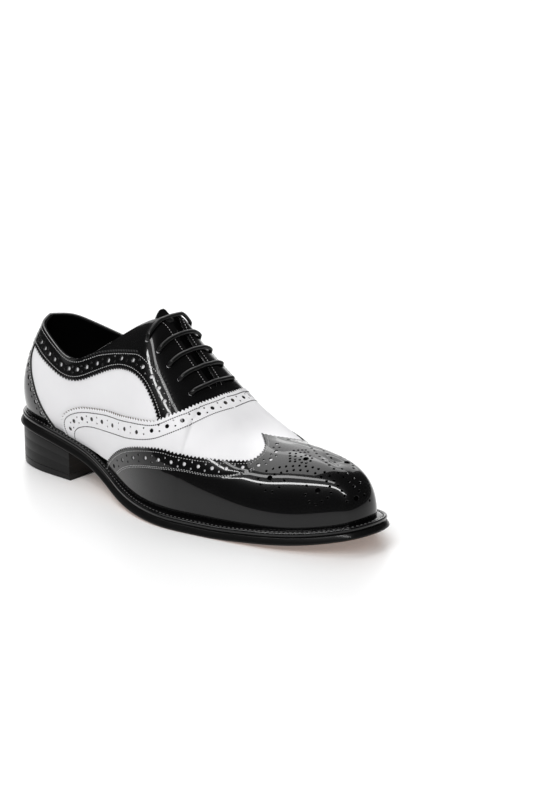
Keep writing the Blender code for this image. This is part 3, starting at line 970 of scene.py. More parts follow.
def vamp():
    edge = gimped(VAMP_EDGE, 1)
    low = aside(walk(WING_EDGE[2:], 5 * MM), -11 * MM)
    low = np.vstack([low[low[:, 0] > 7.2], [(low[-1, 0], RIDGE)]])
    half = np.vstack([edge, [(edge[-1, 0], RIDGE)], low[::-1]])
    flat = cut_sheet((3.75, TURN - 3.75), (half, mate(half)), row_of_holes(VAMP_HOLES))
    piece = leather("vamp_panel", flat, 0.02 * MM, VAMP_TOP)
    dress(piece, "white_leather", WHITE, RAW_EDGE_AND_SHADE)
    # the vamp's cut walls take the raw edge finish, darkened as painted shade
    paint_walls(piece.data)
    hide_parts("vamp")
    return piece


vamp_panel = vamp()

# %% [markdown]
# ## Painted shade behind the vamp's holes
# On the real shoe the holes of the white vamp read black, as if dark leather lay behind them.
# Dark paint inside each hole would look flat, so a thin black strip is lasted close under the
# row: painted shade that stands in for the dark inside the holes.

# %% Painted shade behind the vamp's holes
def painted_hole_shade():
    line = walk(VAMP_EDGE[:-1], 4 * MM, off=-1.8 * MM, start=3 * MM)
    wide = walk(VAMP_EDGE[:-1], 4 * MM, off=-7.5 * MM, start=3 * MM)
    wide = wide[wide[:, 0] > 4.2]
    half = np.vstack([line, [(line[-1, 0], RIDGE), (wide[-1, 0], RIDGE)], wide[::-1]])
    flat = cut_sheet((4.0, TURN - 4.0), (half, mate(half)))
    # a black strip under the vamp's holes: painted shade
    piece = leather("vamp_hole_shade", flat, 0.9 * MM, 1.25 * MM, edge=0)
    dress(piece, "white_leather", BLACK)
    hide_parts("vamp")
    return piece


vamp_hole_shade = painted_hole_shade()

# %% [markdown]
# ## The medallion
# The toe carries a pattern of small holes: two rows along each side, a chevron and flowers.
# It is drawn as a plan, as a maker's paper pattern would be, and each hole is dropped straight
# down on the leather. A projected image would show the pattern but would make no holes.

# %% Medallion
LAID = 2.1 * MM        # height over the skin at which the plan meets the leather
DOT = 0.72 * MM
FLOWER_HOLE = 1.7 * MM
PETALS = 4.2           # radius of the ring of eight dots, in the plan's millimetres
# places of the plan in millimetres, along the last and to its side
NEAR_ROWS = (
    (240.1, -24.2), (243.4, -21.2), (247.1, -18.7), (251.0, -16.5), (255.4, -14.4), (259.4, -12.2),
    (263.7, -10.6), (268.3, -8.9), (272.6, -7.8), (277.6, -7.3), (282.1, -7.2), (286.1, -7.3),
    (289.8, -7.3), (293.1, -7.1), (295.5, -6.9), (297.4, -6.8),
    (246.8, -23.4), (250.6, -20.9), (253.9, -18.6), (257.8, -16.3), (262.1, -14.4), (267.0, -12.6),
    (272.6, -11.1), (277.4, -10.6), (282.2, -10.4), (285.6, -10.9), (287.7, -11.9),
)
FAR_ROWS = (
    (243.4, 14.0), (247.1, 11.5), (251.0, 9.2), (255.4, 7.0), (259.4, 5.0), (263.7, 3.2),
    (268.3, 1.6), (272.2, 0.5), (276.0, -0.6), (280.7, -1.3), (285.1, -1.6), (289.4, -1.3),
    (293.3, -0.5), (296.6, 1.0), (299.4, 3.4), (301.3, 6.6), (302.5, 10.6), (250.6, 17.0),
    (254.6, 14.8), (259.0, 12.8), (264.0, 10.8), (268.6, 9.4), (273.5, 7.6), (278.5, 5.5),
    (284.0, 3.2), (289.0, 2.5), (293.4, 3.9), (296.7, 6.9),
)
CHEVRON = (
    (245.3, -6.4), (247.3, -8.5), (249.2, -10.5), (250.8, -12.3), (249.2, -4.6), (250.9, -7.1),
    (252.7, -9.3), (254.2, -11.0), (245.3, -2.4), (247.3, -0.3), (249.2, 1.7), (250.8, 3.5),
    (250.9, -1.9), (252.7, 0.4), (254.2, 2.2),
)
FLOWER_DOTS = (
    (237.6, -29.8), (241.0, -31.2), (245.8, -31.5), (250.9, -30.1), (254.4, -27.0), (255.7, -23.2),
    (271.7, -18.6), (273.1, -21.2), (276.6, -21.4), (280.8, -19.6), (284.1, -16.9), (286.9, -14.2),
)
SIDE_FLOWERS = ((245.1, -26.2), (279.6, -16.1))
ACROSS = -2.6          # the far flowers are the near ones mirrored, and moved this far
FLOWER, TIP = (259.0, -5.4), (300.3, -0.4)


def dropped(x, y):
    """The (t, v) places on the toe whose leather lies straight under places of the plan."""
    goal = np.column_stack([x, y])
    grid = np.meshgrid(np.linspace(12, TURN - 12, 113), np.linspace(0.35, 1, 40))
    t, v = (a.ravel() for a in grid)
    at = (on_last(t, v) + normals(t, v) * LAID)[:, :2]
    nearest = ((goal[:, None] - at[None])**2).sum(-1).argmin(1)
    places = np.column_stack([t[nearest], v[nearest]])
    for _ in range(12):
        along, up, _ = directions(*places.T)
        miss = goal - (on_last(*places.T) + normals(*places.T) * LAID)[:, :2]
        det = along[:, 0] * up[:, 1] - along[:, 1] * up[:, 0]
        det = np.where(np.abs(det) < 1e-7, 1e-7, det)
        step = np.column_stack([miss[:, 0] * up[:, 1] - miss[:, 1] * up[:, 0],
                                along[:, 0] * miss[:, 1] - along[:, 1] * miss[:, 0]]) / det[:, None]
        places = places + 0.7 * np.clip(step, (-0.4, -0.05), (0.4, 0.05))
        places[:, 1] = np.clip(places[:, 1], 0.1, 0.995)
    return places


def medallion():
    """Punches of the toe's pattern: two rows of dots on each side, a chevron and flowers."""
    dots = list(NEAR_ROWS + FAR_ROWS + CHEVRON + FLOWER_DOTS)
    dots += [(x, ACROSS - y) for x, y in FLOWER_DOTS]
    dots += [(FLOWER[0] + PETALS * math.cos(a), FLOWER[1] + PETALS * math.sin(a))
             for a in np.arange(8) * math.pi / 4]
    big = [*SIDE_FLOWERS, *((x, ACROSS - y) for x, y in SIDE_FLOWERS), FLOWER, TIP]
    made = []
    for group, radius in ((dots, DOT), (big, FLOWER_HOLE)):
        x, y = np.array(group).T * MM
        made += rounds(dropped(x + SHIFT[0], y + SHIFT[1]), radius)
    return made


toe_holes = medallion()
print("holes of the medallion:", len(toe_holes))

# %% [markdown]
# ## Wing cap
# The black wing cap rises to a point on the ridge and runs back along both sides, with its own
# border of holes. It is the topmost leather. Two halves joined on the ridge would leave a seam
# in the polish, so it is cut as one piece across the toe, from a finer sheet.

# %% Wing cap
WING_HOLES = (
    (6.5, 0.08), (7.16, 0.15), (7.86, 0.202), (8.54, 0.248), (9.16, 0.285), (9.7, 0.313),
    (10.24, 0.34), (10.84, 0.368), (11.44, 0.398), (12.06, 0.438), (12.78, 0.50), (13.5, 0.565),
    (14.06, 0.66), (14.3, 0.78), (14.3, 0.905),
)


def wing():
    edge = gimped(WING_EDGE, 1)
    start, peak = WING_EDGE[0][0], edge[-1, 0]
    ring = np.vstack([edge, [(peak, RIDGE), (TURN - peak, RIDGE)], mate(edge),
                      [(TURN - start, -0.1), (start, -0.1)]])
    holes = row_of_holes(WING_HOLES, big=1.25 * MM) + toe_holes
    flat = cut_sheet((5.5, TURN - 5.5), (ring,), holes, rows=84)
    piece = leather("wing", flat, 0.05 * MM, WING_TOP)
    dress(piece, "black_leather", BLACK)
    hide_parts("wing_cap")
    return piece


wing_panel = wing()

# %% [markdown]
# ## Facings
# The facings hold the laces over the tongue, with five eyelets on each side. The eyelets are
# found from where the laces cross the foot, so that a lace always meets its hole.

# %% Facings
LACES = (0.419, 0.453, 0.487, 0.521, 0.554)  # shares of the length
LACE_END = 0.775       # v of the eyelets
EYELET = 1.6 * MM


def rib_at(x, v):
    """The rib of the outer side that passes a distance along the foot at height v."""
    t = np.linspace(0, RIBS, 761)
    return float(np.interp(x + SHIFT[0], on_last(t, v)[:, 0], t))


def eyelets():
    """Places of the eyelets on the outer side."""
    return [(rib_at(share * LENGTH, LACE_END), LACE_END) for share in LACES]


def facings():
    under = aside(walk(VAMP_EDGE[7:], 4 * MM), -4 * MM)
    back = walk(BAND_HIGH, 4 * MM, off=-2.6 * MM)
    half = np.vstack([back[back[:, 1] < 1.2], under[under[:, 0] > back[-1, 0]],
                      [(10.6, RIDGE), (back[0, 0], RIDGE)]])
    flat = cut_sheet((4.0, TURN - 4.0), (half, mate(half)), rounds(both(eyelets()), EYELET))
    piece = leather("facing_panels", flat, 0.02 * MM, FACING_TOP)
    dress(piece, "black_leather", BLACK)
    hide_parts("facings")
    return piece


facing_panels = facings()

# %% [markdown]
# ## The collar band
# A band of punched black leather runs round the collar and sweeps down in front of the
# quarters. It crosses the back of the heel, where t starts, so its sheet is drawn from minus
# to plus and needs no join there.

# %% Collar band
BAND_HOLES = (
    (0.45, 0.9), (1.05, 0.895), (1.76, 0.885), (2.22, 0.87), (2.62, 0.86), (2.98, 0.853),
    (3.36, 0.848), (3.78, 0.846), (4.24, 0.845), (4.66, 0.845), (5.05, 0.842), (5.42, 0.815),
    (5.82, 0.762), (6.34, 0.692), (6.92, 0.64), (7.5, 0.628), (8.04, 0.632), (8.48, 0.622),
    (8.86, 0.592), (9.14, 0.545),
)


def band():
    low, high = gimped(BAND_LOW, -1), gimped(BAND_HIGH, 1)
    top = BAND_HIGH[0][0]
    ring = np.vstack([low, high[::-1], [(top, RIDGE), (-top, RIDGE)],
                      behind(high[::-1]), behind(low)])
    full = np.vstack([behind(BAND_HOLES), BAND_HOLES])
    holes = rounds(full, BIG) + rounds(between(full, 2.0 * MM), SMALL)
    piece = leather("collar_band", cut_sheet((-9.6, 9.6), (ring,), holes), 0.03 * MM, BAND_TOP)
    dress(piece, "black_leather", BLACK)
    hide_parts("facings")
    return piece


collar_band = band()

# %% [markdown]
# ## The heel counter
# A black counter wraps the back of the heel from side to side and strengthens it. Its edge is
# cut straight here, not pinked, and its holes keep a fixed distance from the edge, so they are
# walked along it.

# %% Counter
def counter():
    edge = walk(COUNTER_EDGE, 2 * MM)
    line = walk(COUNTER_EDGE, 9 * MM, off=-4.5 * MM, start=12 * MM, end=6 * MM)
    small = between(line, 2.0 * MM)
    holes = rounds([*line, *behind(line)], BIG) + rounds([*small, *behind(small)], SMALL)
    flat = cut_sheet((-3.8, 3.8), (np.vstack([edge, behind(edge)]),), holes)
    piece = leather("heel_counter", flat, 0.02 * MM, COUNTER_TOP)
    dress(piece, "black_leather", BLACK)
    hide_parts("counter")
    return piece


heel_counter = counter()

# %% [markdown]
# ## Rings for the bottom
# The welt, the outsole and the heel are rings round the foot. A profile swept along a curve
# would pinch at the toe's corners, so each piece starts as a circle of points laid on one
# outline, and is extruded from outline to outline, like a strip bent round the edge.

# %% Rings
EDGE_POINTS = 400


def plan(out, share, ribs):
    """Points round the sole whose mates across the foot stand level with each other."""
    at, _ = outline(ribs, out, share)
    x = (at[:, 0] + at[-np.arange(len(at)) % len(at), 0]) / 2
    fine = np.linspace(0, RIBS, 1601)
    for side in (1, -1):
        on_side = (ribs * side) % TURN <= RIBS
        curve, _ = outline(fine * side, out, share)
        at[on_side, 1] = np.interp(x[on_side], np.maximum.accumulate(curve[:, 0]), curve[:, 1])
    at[:, 0] = x
    return at


def loop(out, share, height, ribs=None):
    """A loop round the sole, moved out from the feather line or from the welt's edge."""
    ribs = np.arange(EDGE_POINTS) * TURN / EDGE_POINTS if ribs is None else ribs
    at = plan(out, share, ribs)
    return np.column_stack([at, sole_height(at[:, 0]) + height]) + SHIFT


def strip(bm, loops, closed=False):
    """Extrude a ring of points from loop to loop; gives the edges of the first and last loop."""
    count = len(loops[0])
    number = bm.verts.layers.int.get("number") or bm.verts.layers.int.new("number")
    ring = bmesh.ops.create_circle(bm, segments=count, radius=1)["verts"]
    for k, vert in enumerate(ring):
        vert[number], vert.co = k, loops[0][k]
    members = set(ring)
    first = edges = [edge for edge in bm.edges
                     if edge.verts[0] in members and edge.verts[1] in members]
    for places in loops[1:]:
        made = bmesh.ops.extrude_edge_only(bm, edges=edges)["geom"]
        fresh = {item for item in made if isinstance(item, bmesh.types.BMVert)}
        for vert in fresh:
            vert.co = places[vert[number]]
        edges = [item for item in made if isinstance(item, bmesh.types.BMEdge)
                 and item.verts[0] in fresh and item.verts[1] in fresh]
    if closed:
        bmesh.ops.bridge_loops(bm, edges=first + edges)
    return first, edges


print("points round the sole:", EDGE_POINTS)

# %% [markdown]
# ## Closing a block
# A single face over a whole sole would be bent and hard to shade. The points of each outline
# are level with their mates across the foot, so straight strips from one side to the other
# close it, and follow the sole's bend.

# %% Blocks
def cap(bm, edges):
    """Close a loop of mirrored points with strips straight across the foot."""
    number = bm.verts.layers.int["number"]
    count = len(edges)
    ends = {0, count // 2}
    rungs = [edge for edge in edges if not {edge.verts[0][number], edge.verts[1][number]} & ends]
    tips = [edge for edge in edges if edge not in set(rungs)]
    bmesh.ops.bridge_loops(bm, edges=rungs)
    for end in ends:
        near = [edge for edge in tips if end in (edge.verts[0][number], edge.verts[1][number])]
        corners = {vert for edge in near for vert in edge.verts}
        bmesh.ops.contextual_create(bm, geom=list(corners))


def hard_edges(piece, angle):
    """Smooth shading with sharp edges where faces meet at more than an angle."""
    piece.data.shade_smooth()
    piece.data.set_sharp_from_angle(angle=math.radians(angle))


def block(name, loops, angle=50, closed=False):
    """A ring or a solid block through loops, with sharp edges above an angle."""
    bm = bmesh.new()
    ends = strip(bm, loops, closed)
    if not closed:
        for edges in ends:
            cap(bm, edges)
    bmesh.ops.recalc_face_normals(bm, faces=bm.faces[:])
    piece = as_object(name, bm)
    hard_edges(piece, angle)
    return piece


print("blocks are sharp above 50 degrees")

# %% [markdown]
# ## Welt
# The welt is the strip that joins the upper to the sole, and its upper side shows a groove for
# the stitches and a round bead against the upper. A bevel on a plain ring would miss both, so
# its whole section is drawn, from the bottom round the edge to the bead.

# %% Welt
def welt():
    bottom, top = OUTSOLE + CLEAR, OUTSOLE + WELT
    middle = (bottom + top) / 2
    bead = [(1.7 * MM + 0.55 * MM * math.cos(a), 0.5 * MM * math.sin(a))
            for a in np.linspace(math.pi, 0, 7)]
    loops = [loop(-0.6 * MM, 1.0, bottom)]
    loops += [loop(-0.9 * MM + 0.9 * MM * math.cos(a), 1.0, middle + 1.5 * MM * math.sin(a))
              for a in np.linspace(-1.3, 1.45, 9)]
    groove_steps = ((-1.6, 0), (-1.9, -0.25), (-2.3, -0.3), (-3.1, -0.3), (-3.5, -0.2), (-3.8, 0))
    loops += [loop(out * MM, 1.0, top + up * MM) for out, up in groove_steps]
    loops += [loop(out, 0.0, top + up) for out, up in reversed(bead)]
    loops += [loop(0.4 * MM, 0.0, top - 0.1 * MM), loop(-6 * MM, 0.0, top - 0.1 * MM),
              loop(-6 * MM, 0.0, bottom)]
    piece = block("welt_strip", loops, closed=True)
    dress(piece, "sole_edge", BLACK)
    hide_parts("welt")
    return piece


welt_strip = welt()
print("welt:", len(welt_strip.data.polygons), "faces")

# %% [markdown]
# ## The leathers of the sole
# The underside of a leather sole is bare and tan, and its edge is inked black and waxed. Both
# are leather with coarser fibre than the upper's, so they get their own two finishes.

# %% Sole finishes
def tan_leather():
    finish = Finish("tan_sole", (0.40, 0.20, 0.09), 0.45, Coat_Weight=0.2, Coat_Roughness=0.3)
    cloud = finish.noise(0.015, 4.0)
    fibre = finish.noise(0.0009, 5.0, 0.7)
    finish.set("Base Color", finish.blend(cloud, (0.33, 0.15, 0.065), (0.47, 0.25, 0.12)))
    finish.set("Roughness", 0.36 + 0.2 * fibre)
    finish.set("Normal", finish.bump(fibre, 0.00012, 0.5))
    return finish.material


def edge_ink():
    finish = Finish("sole_edge_ink", (0.005, 0.005, 0.005), 0.32, Coat_Weight=0.25,
                    Coat_Roughness=0.15, Specular_IOR_Level=0.06)
    grain = finish.noise(0.0012, 4.0, 0.65)
    finish.set("Base Color", finish.blend(grain, (0.003, 0.003, 0.003), (0.009, 0.009, 0.009)))
    finish.set("Roughness", 0.24 + 0.2 * grain)
    finish.set("Normal", finish.bump(grain, 0.0001, 0.5))
    return finish.material


TAN = tan_leather()
SOLE_EDGE = edge_ink()
print("sole finishes:", TAN.name, SOLE_EDGE.name)

# %% [markdown]
# ## Outsole
# The edge of the outsole is trimmed with an iron that leaves a rounded lower lip and a fine
# groove under the welt. A plain slab with a bevel would lose that line, so the section is
# drawn in twelve steps. The faces that look down are tan.

# %% Outsole
# how far out and how high each step of the section lies, in millimetres
SOLE_STEPS = (
    (-3.0, 0.0), (0.2, 0.0), (0.9, 0.25), (1.45, 0.8), (1.6, 1.2), (1.35, 2.0), (0.9, 3.1),
    (0.3, 4.1), (-0.1, 4.9), (-0.25, 5.1), (-0.5, 5.2), (-0.8, 5.5),
)


def outsole():
    piece = block("sole_leather", [loop(out * MM, 1.0, high * MM) for out, high in SOLE_STEPS])
    for face in piece.data.polygons:
        face.material_index = 1 if face.normal.z < -0.85 else 0
    dress(piece, "sole", SOLE_EDGE, TAN)
    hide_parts("outsole")
    return piece


sole_leather = outsole()
print("outsole:", len(sole_leather.data.polygons), "faces")

# %% [markdown]
# ## Heel
# A heel is a stack of leather layers, trimmed to one block and inked, so the joins show only
# as fine lines. Separate layers would hide most of their faces, so it is one block whose loops
# dip in a little at each join. It narrows slightly to the floor and its breast is hollow.

# %% Heel
HEEL_SIDES, HEEL_FRONT = 70, 13  # points along a side and across the breast
HOLLOW = 2.5 * MM


def heel_ring(ribs, out, share, dip=0.0):
    """A loop round the heel at a share of its height, drawn in by a dip."""
    at = plan(out - dip, 1.0, ribs)
    at[[HEEL_SIDES, HEEL_SIDES + 1], 0] = HEEL_LENGTH - dip
    corner, other = at[HEEL_SIDES], at[HEEL_SIDES + 1]
    steps = [k / (HEEL_FRONT + 1) for k in range(1, HEEL_FRONT + 1)]
    across = [corner + (other - corner) * k - (HOLLOW * math.sin(math.pi * k), 0) for k in steps]
    at = np.vstack([at[:HEEL_SIDES + 1], across, at[HEEL_SIDES + 1:]])
    return np.column_stack([at, (sole_height(at[:, 0]) - CLEAR) * share]) + SHIFT


def heel():
    fine = np.linspace(0, 8, 641)
    breast = np.interp(HEEL_LENGTH, outline(fine, 0.0, 1.0)[0][:, 0], fine)
    ribs = np.linspace(0, breast, HEEL_SIDES + 1)
    ribs = np.concatenate([ribs, -ribs[:0:-1]])
    steps = [(-2.2, 0.0, 0), (-1.6, 0.018, 0), (-1.4, 0.045, 0)]
    for join, dip in ((0.20, 0.22), (0.46, 0.05), (0.72, 0.05)):
        out = -1.4 + 0.75 * join
        steps += [(out, join - 0.008, 0), (out, join, dip), (out, join + 0.008, 0)]
    steps += [(-0.65, 0.97, 0), (-0.8, 1.0, 0)]
    loops = [heel_ring(ribs, out * MM, share, dip * MM) for out, share, dip in steps]
    piece = block("heel_stack", loops, angle=35)
    dress(piece, "sole_edge", SOLE_EDGE)
    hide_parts("heel")
    return piece


heel_stack = heel()
print("heel:", len(heel_stack.data.polygons), "faces")

# %% [markdown]
# ## Insole
# Inside, a thin sock lies on the insole and closes the bottom. It is hardly seen, so it is a
# plain block with a small bevel, drawn a little within the wall so that the two never touch.

# %% Insole
def insole():
    within, under = -WALL - 2.5 * CLEAR, OUTSOLE + WELT + CLEAR
    steps = ((0, 0), (0, 2.6), (-0.5, 3))
    piece = block("sock", [loop(within + out * MM, 0.0, under + up * MM) for out, up in steps])
    dress(piece, "lining", LINING_AND_SHADE)
    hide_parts("insole")
    return piece


sock = insole()
print("sock:", len(sock.data.polygons), "faces")

# %% [markdown]
# ## Tongue
# A soft strip lies under the facings and stands up above them in a small rounded tab. A
# cloth simulation could drape it, but it hardly bends. So it is a grid bent over the ridge, a
# lining's depth below the skin, and then given its thickness.

# %% Tongue
TONGUE_RISE = 0.012
ACROSS_POINTS = 11


def tongue_rows():
    """Rows of points from under the vamp to the top of the tab."""
    s = np.linspace(-1, 1, ACROSS_POINTS)
    mid = ACROSS_POINTS // 2
    rows = []
    for t in np.linspace(THROAT + 1.5, THROAT - 2.8, 10):
        v = 1 - 0.26 * np.abs(s)
        rib = np.where(s < 0, t, TURN - t)
        out = normals(rib, np.minimum(v, 0.99))
        out[mid] = out[mid - 1] + out[mid + 1]
        out = unit(out)
        row = on_last(rib, v)
        row[mid] = (on_last(t, 1.0) + on_last(TURN - t, 1.0)) / 2
        rows.append(row - out * (WALL + 4 * CLEAR))
    last, lift = rows[-1], unit(rows[-1][mid] - rows[-2][mid])
    for share, width in ((0.25, 0.46), (0.45, 0.45), (0.62, 0.42), (0.75, 0.36), (0.83, 0.26)):
        tab = last[mid] + (last - last[mid]) * width
        rows.append(tab + lift * TONGUE_RISE * share + out[mid] * 1.5 * MM * share**2)
    return np.array(rows)


def tongue():
    rows = tongue_rows()
    count = len(rows)
    bm = bmesh.new()
    place = Matrix.Translation((0.5, 0.5, 0))
    bmesh.ops.create_grid(bm, x_segments=60, y_segments=20, size=0.5, matrix=place)
    flat = np.array([vert.co[:2] for vert in bm.verts])
    lines = natural(np.arange(count), rows.reshape(count, -1))(flat[:, 0] * (count - 1))
    for vert, (_, across), line in zip(bm.verts, flat, lines.reshape(len(flat), ACROSS_POINTS, 3)):
        where = np.array([across * (ACROSS_POINTS - 1)])
        vert.co = natural(np.arange(ACROSS_POINTS), line)(where)[0]
    bmesh.ops.recalc_face_normals(bm, faces=bm.faces[:])
    if sum(face.normal.z for face in bm.faces) < 0:
        bmesh.ops.reverse_faces(bm, faces=bm.faces[:])
    bmesh.ops.solidify(bm, geom=bm.faces[:], thickness=2.0 * MM)
    bmesh.ops.recalc_face_normals(bm, faces=bm.faces[:])
    piece = as_object("tongue_strip", bm)
    hard_edges(piece, 50)
    dress(piece, "black_leather", BLACK)
    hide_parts("tongue")
    return piece


tongue_strip = tongue()
print("tongue:", len(tongue_strip.data.polygons), "faces")

# %% [markdown]
# ## A waxed cord
# The laces are round, waxed and finely woven. A curve with a bevel would give the same tube,
# but a mesh can keep on its points how far it runs and turns, and the weave follows those two
# values round every bend.

# %% Cord
LACE = 2.8 * MM


def tube(bm, path, radius, up, segments=14):
    """A round cord along a path, with how far it runs and turns kept on its points."""
    run, turn = bm.verts.layers.float.new("run"), bm.verts.layers.float.new("turn")
    ahead = unit(np.gradient(path, axis=0))
    side = np.cross(ahead, up)
    side /= np.linalg.norm(side, axis=1, keepdims=True)
    top = np.cross(side, ahead)
    angle = -math.pi / 2 + np.arange(segments) * 2 * math.pi / segments
    loops = [at + (np.outer(np.cos(angle), s) * 1.12 + np.outer(np.sin(angle), u) * 0.9) * radius
             for at, s, u in zip(path, side, top)]
    ends = strip(bm, loops)
    number = bm.verts.layers.int["number"]
    length = np.concatenate([[0], np.cumsum(np.linalg.norm(np.diff(path, axis=0), axis=1))])
    bm.verts.ensure_lookup_table()
    for k, vert in enumerate(bm.verts):
        vert[run], vert[turn] = length[k // segments], vert[number] / segments
    for edges in ends:
        corners = {vert for edge in edges for vert in edge.verts}
        bmesh.ops.contextual_create(bm, geom=list(corners))
    bmesh.ops.recalc_face_normals(bm, faces=bm.faces[:])


def lace_finish():
    finish = Finish("waxed_lace", (0.003, 0.003, 0.003), 0.42, Coat_Weight=0.45,
                    Coat_Roughness=0.12, Specular_IOR_Level=0.08)
    run = finish.node("Attribute", {"attribute_name": "run"})["Fac"]
    turn = finish.node("Attribute", {"attribute_name": "turn"})["Fac"]
    weave = (run * 3500.0 + turn * 25.13).sine() * (run * 3500.0 - turn * 25.13).sine()
    finish.set("Base Color",
               finish.blend(weave * 0.5 + 0.5, (0.002, 0.002, 0.002), (0.008, 0.008, 0.008)))
    finish.set("Normal", finish.bump(weave, 0.00012, 0.7))
    return finish.material


print("cord:", LACE, "m across")

# %% [markdown]
# ## Laces
# Five straight bars cross the throat. Each rises out of one eyelet, runs over the facings and
# dips into the eyelet across from it. Between the facings a lace is pulled tight and leaves
# the leather, so its middle is a straight line with a slight rise.

# %% Laces
LACE_POINTS = 33


def lace_path(share):
    """Points along a lace from eyelet to eyelet, and which way is up."""
    s = np.linspace(-1, 1, LACE_POINTS)
    spots = []
    for across in s:
        v = 1 - (1 - LACE_END) * max(abs(across), 0.10)
        t = rib_at(share * LENGTH, v)
        spots.append((t if across < 0 else TURN - t, v))
    spots = np.array(spots)
    edge = smooth(0.86, 1.0, np.abs(s))
    top = normals(*spots.T)
    lift = (1.0 * MM + 0.55 * LACE) * (1 - edge) + 0.3 * MM * edge
    path = on_last(*spots.T) + top * lift[:, None]
    middle = np.flatnonzero(np.abs(s) < 0.2)
    k = np.linspace(0, 1, len(middle))[:, None]
    path[middle] = path[middle[0]] * (1 - k) + path[middle[-1]] * k
    path[middle, 2] += 0.5 * MM * np.sin(math.pi * k[:, 0])
    down = [path[0] - top[0] * 1.2 * MM, *path, path[-1] - top[-1] * 1.2 * MM]
    return np.array(down), np.vstack([top[:1], top, top[-1:]])


def laces():
    finish = lace_finish()
    made = []
    for count, share in enumerate(LACES, 1):
        path, up = lace_path(share)
        bm = bmesh.new()
        tube(bm, path, LACE / 2, up)
        piece = as_object(f"lace_{count}", bm)
        piece.data.shade_smooth()
        dress(piece, "lace", finish)
        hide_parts(f"lace_bar_{count}")
        made.append(piece)
    return made


lace_pieces = laces()
print("laces:", len(lace_pieces))

# %% [markdown]
# ## Stitches
# Every seam is sewn with short stitches that stand a thread's height over the leather. A bump
# map would vanish at the edges, so one stitch is a sphere with a few sides, drawn out along
# its seam, and a whole seam is one mesh.

# %% Stitches
def sew(name, rows, material, slot, node, long=1.35 * MM, wide=0.66 * MM, high=0.45 * MM):
    """Stitches at places with directions and normals, joined to one piece."""
    whole, part = bmesh.new(), bmesh.new()
    sewn = bpy.data.meshes.new("sewn")
    for places, ahead, up in rows:
        side = np.cross(up, ahead)
        for count, (at, a, b, c) in enumerate(zip(places, ahead, side, up), 1):
            turn = Matrix((a * long, b * wide, c * high)).transposed().to_4x4()
            turn.translation = at
            bmesh.ops.create_uvsphere(part, u_segments=6, v_segments=4, radius=0.5, matrix=turn)
            if count % 40 == 0 or count == len(places):
                part.to_mesh(sewn)
                whole.from_mesh(sewn)
                part.clear()
    part.free()
    bpy.data.meshes.remove(sewn)
    bmesh.ops.recalc_face_normals(whole, faces=whole.faces[:])
    piece = as_object(name, whole)
    piece.data.shade_smooth()
    dress(piece, slot, material)
    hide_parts(node)
    print(f"{name}: {len(piece.data.polygons)} faces")
    return piece


print("one stitch:", 1.35 * MM, "m long")

# %% [markdown]
# ## Where stitches go
# A seam runs beside an edge at an even distance, and a stitch points along it and stands out
# of the leather. Instancing on a curve would turn stitches the wrong way at bends, so each one
# gets its own three directions from the skin.

# %% Places of stitches
def on_skin(places, height):
    """Stitch places on the skin at a height, with directions and normals."""
    up = normals(*np.array(places).T)
    at = on_last(*np.array(places).T) + up * height
    ahead = np.gradient(at, axis=0)
    return at, unit(ahead - up * (ahead * up).sum(1)[:, None]), up


def seam(knots, off, height, pitch=2.0 * MM, start=0.0, end=0.0):
    """A row of stitches on both sides of the shoe, beside a line."""
    line = walk(knots, pitch, off, start, end)
    line = line[(line[:, 1] > 0) & (line[:, 1] < 0.985)]
    return [on_skin(line, height), on_skin(mate(line), height)]


def welt_seam():
    """Even places in the groove of the welt, with directions and normals."""
    ring = loop(-2.7 * MM, 1.0, OUTSOLE + WELT - 0.2 * MM, np.linspace(0, TURN, 1601)[:-1])
    length = np.concatenate([[0], np.cumsum(np.linalg.norm(np.diff(ring, axis=0), axis=1))])
    where = np.arange(0, length[-1], 3.3 * MM)
    at = np.column_stack([np.interp(where, length, ring[:, i]) for i in range(3)])
    ahead = unit(np.gradient(at, axis=0))
    return [(at, ahead, np.cross(ahead, unit(np.cross((0, 0, 1), ahead))))]


print("stitches round the welt:", len(welt_seam()[0][0]))

# %% [markdown]
# ## The seams
# The black overlays are sewn in pale thread and the vamp in dark thread, each seam close to
# its edge and just above its own leather. The wing has a double row in its channel. The welt's
# stitches are longer and coarser, as they go through the sole.

# %% Seams
THREAD = 0.02 * MM     # a stitch's middle over its leather
FINE = 0.5 * MM
COLLAR_LINE = ((0.1, 0.965), (1.5, 0.965), (3.0, 0.968), (4.2, 0.955), (4.9, 0.94))
THROAT_LINE = ((7.2, 0.955), (8.4, 0.955), (9.3, 0.955), (9.9, 0.955))

sew("stitch_band", seam(BAND_LOW, 1.7 * MM, BAND_TOP + THREAD, end=9 * MM)
    + seam(BAND_HIGH, -1.7 * MM, BAND_TOP + THREAD, start=8 * MM, end=9 * MM),
    PALE_THREAD, "black_leather", "facings")
sew("stitch_wing", seam(WING_EDGE, -1.6 * MM, WING_TOP + THREAD)
    + seam(CHANNEL, 0.6 * MM, WING_TOP + THREAD) + seam(CHANNEL, -0.6 * MM, WING_TOP + THREAD),
    PALE_THREAD, "black_leather", "wing_cap", wide=FINE)
sew("stitch_counter", seam(COUNTER_EDGE, -1.5 * MM, COUNTER_TOP + THREAD),
    PALE_THREAD, "black_leather", "counter")
sew("stitch_vamp", seam(VAMP_EDGE, -2.2 * MM, VAMP_TOP + THREAD / 2, 1.6 * MM)
    + seam(VAMP_LOW, 0.0, VAMP_TOP + THREAD / 2, 1.6 * MM),
    DARK_THREAD, "white_leather", "vamp", long=1.6 * MM, wide=0.85 * MM)
sew("stitch_collar", seam(COLLAR_LINE, 0.0, BAND_TOP + THREAD),
    PALE_THREAD, "black_leather", "facings", wide=FINE)
sew("stitch_facing", seam(THROAT_LINE, 0.0, FACING_TOP + THREAD),
    PALE_THREAD, "black_leather", "facings", wide=FINE)
sew("stitch_welt", welt_seam(), WELT_THREAD, "sole_edge", "welt",
    long=2.3 * MM, wide=0.8 * MM, high=0.6 * MM)

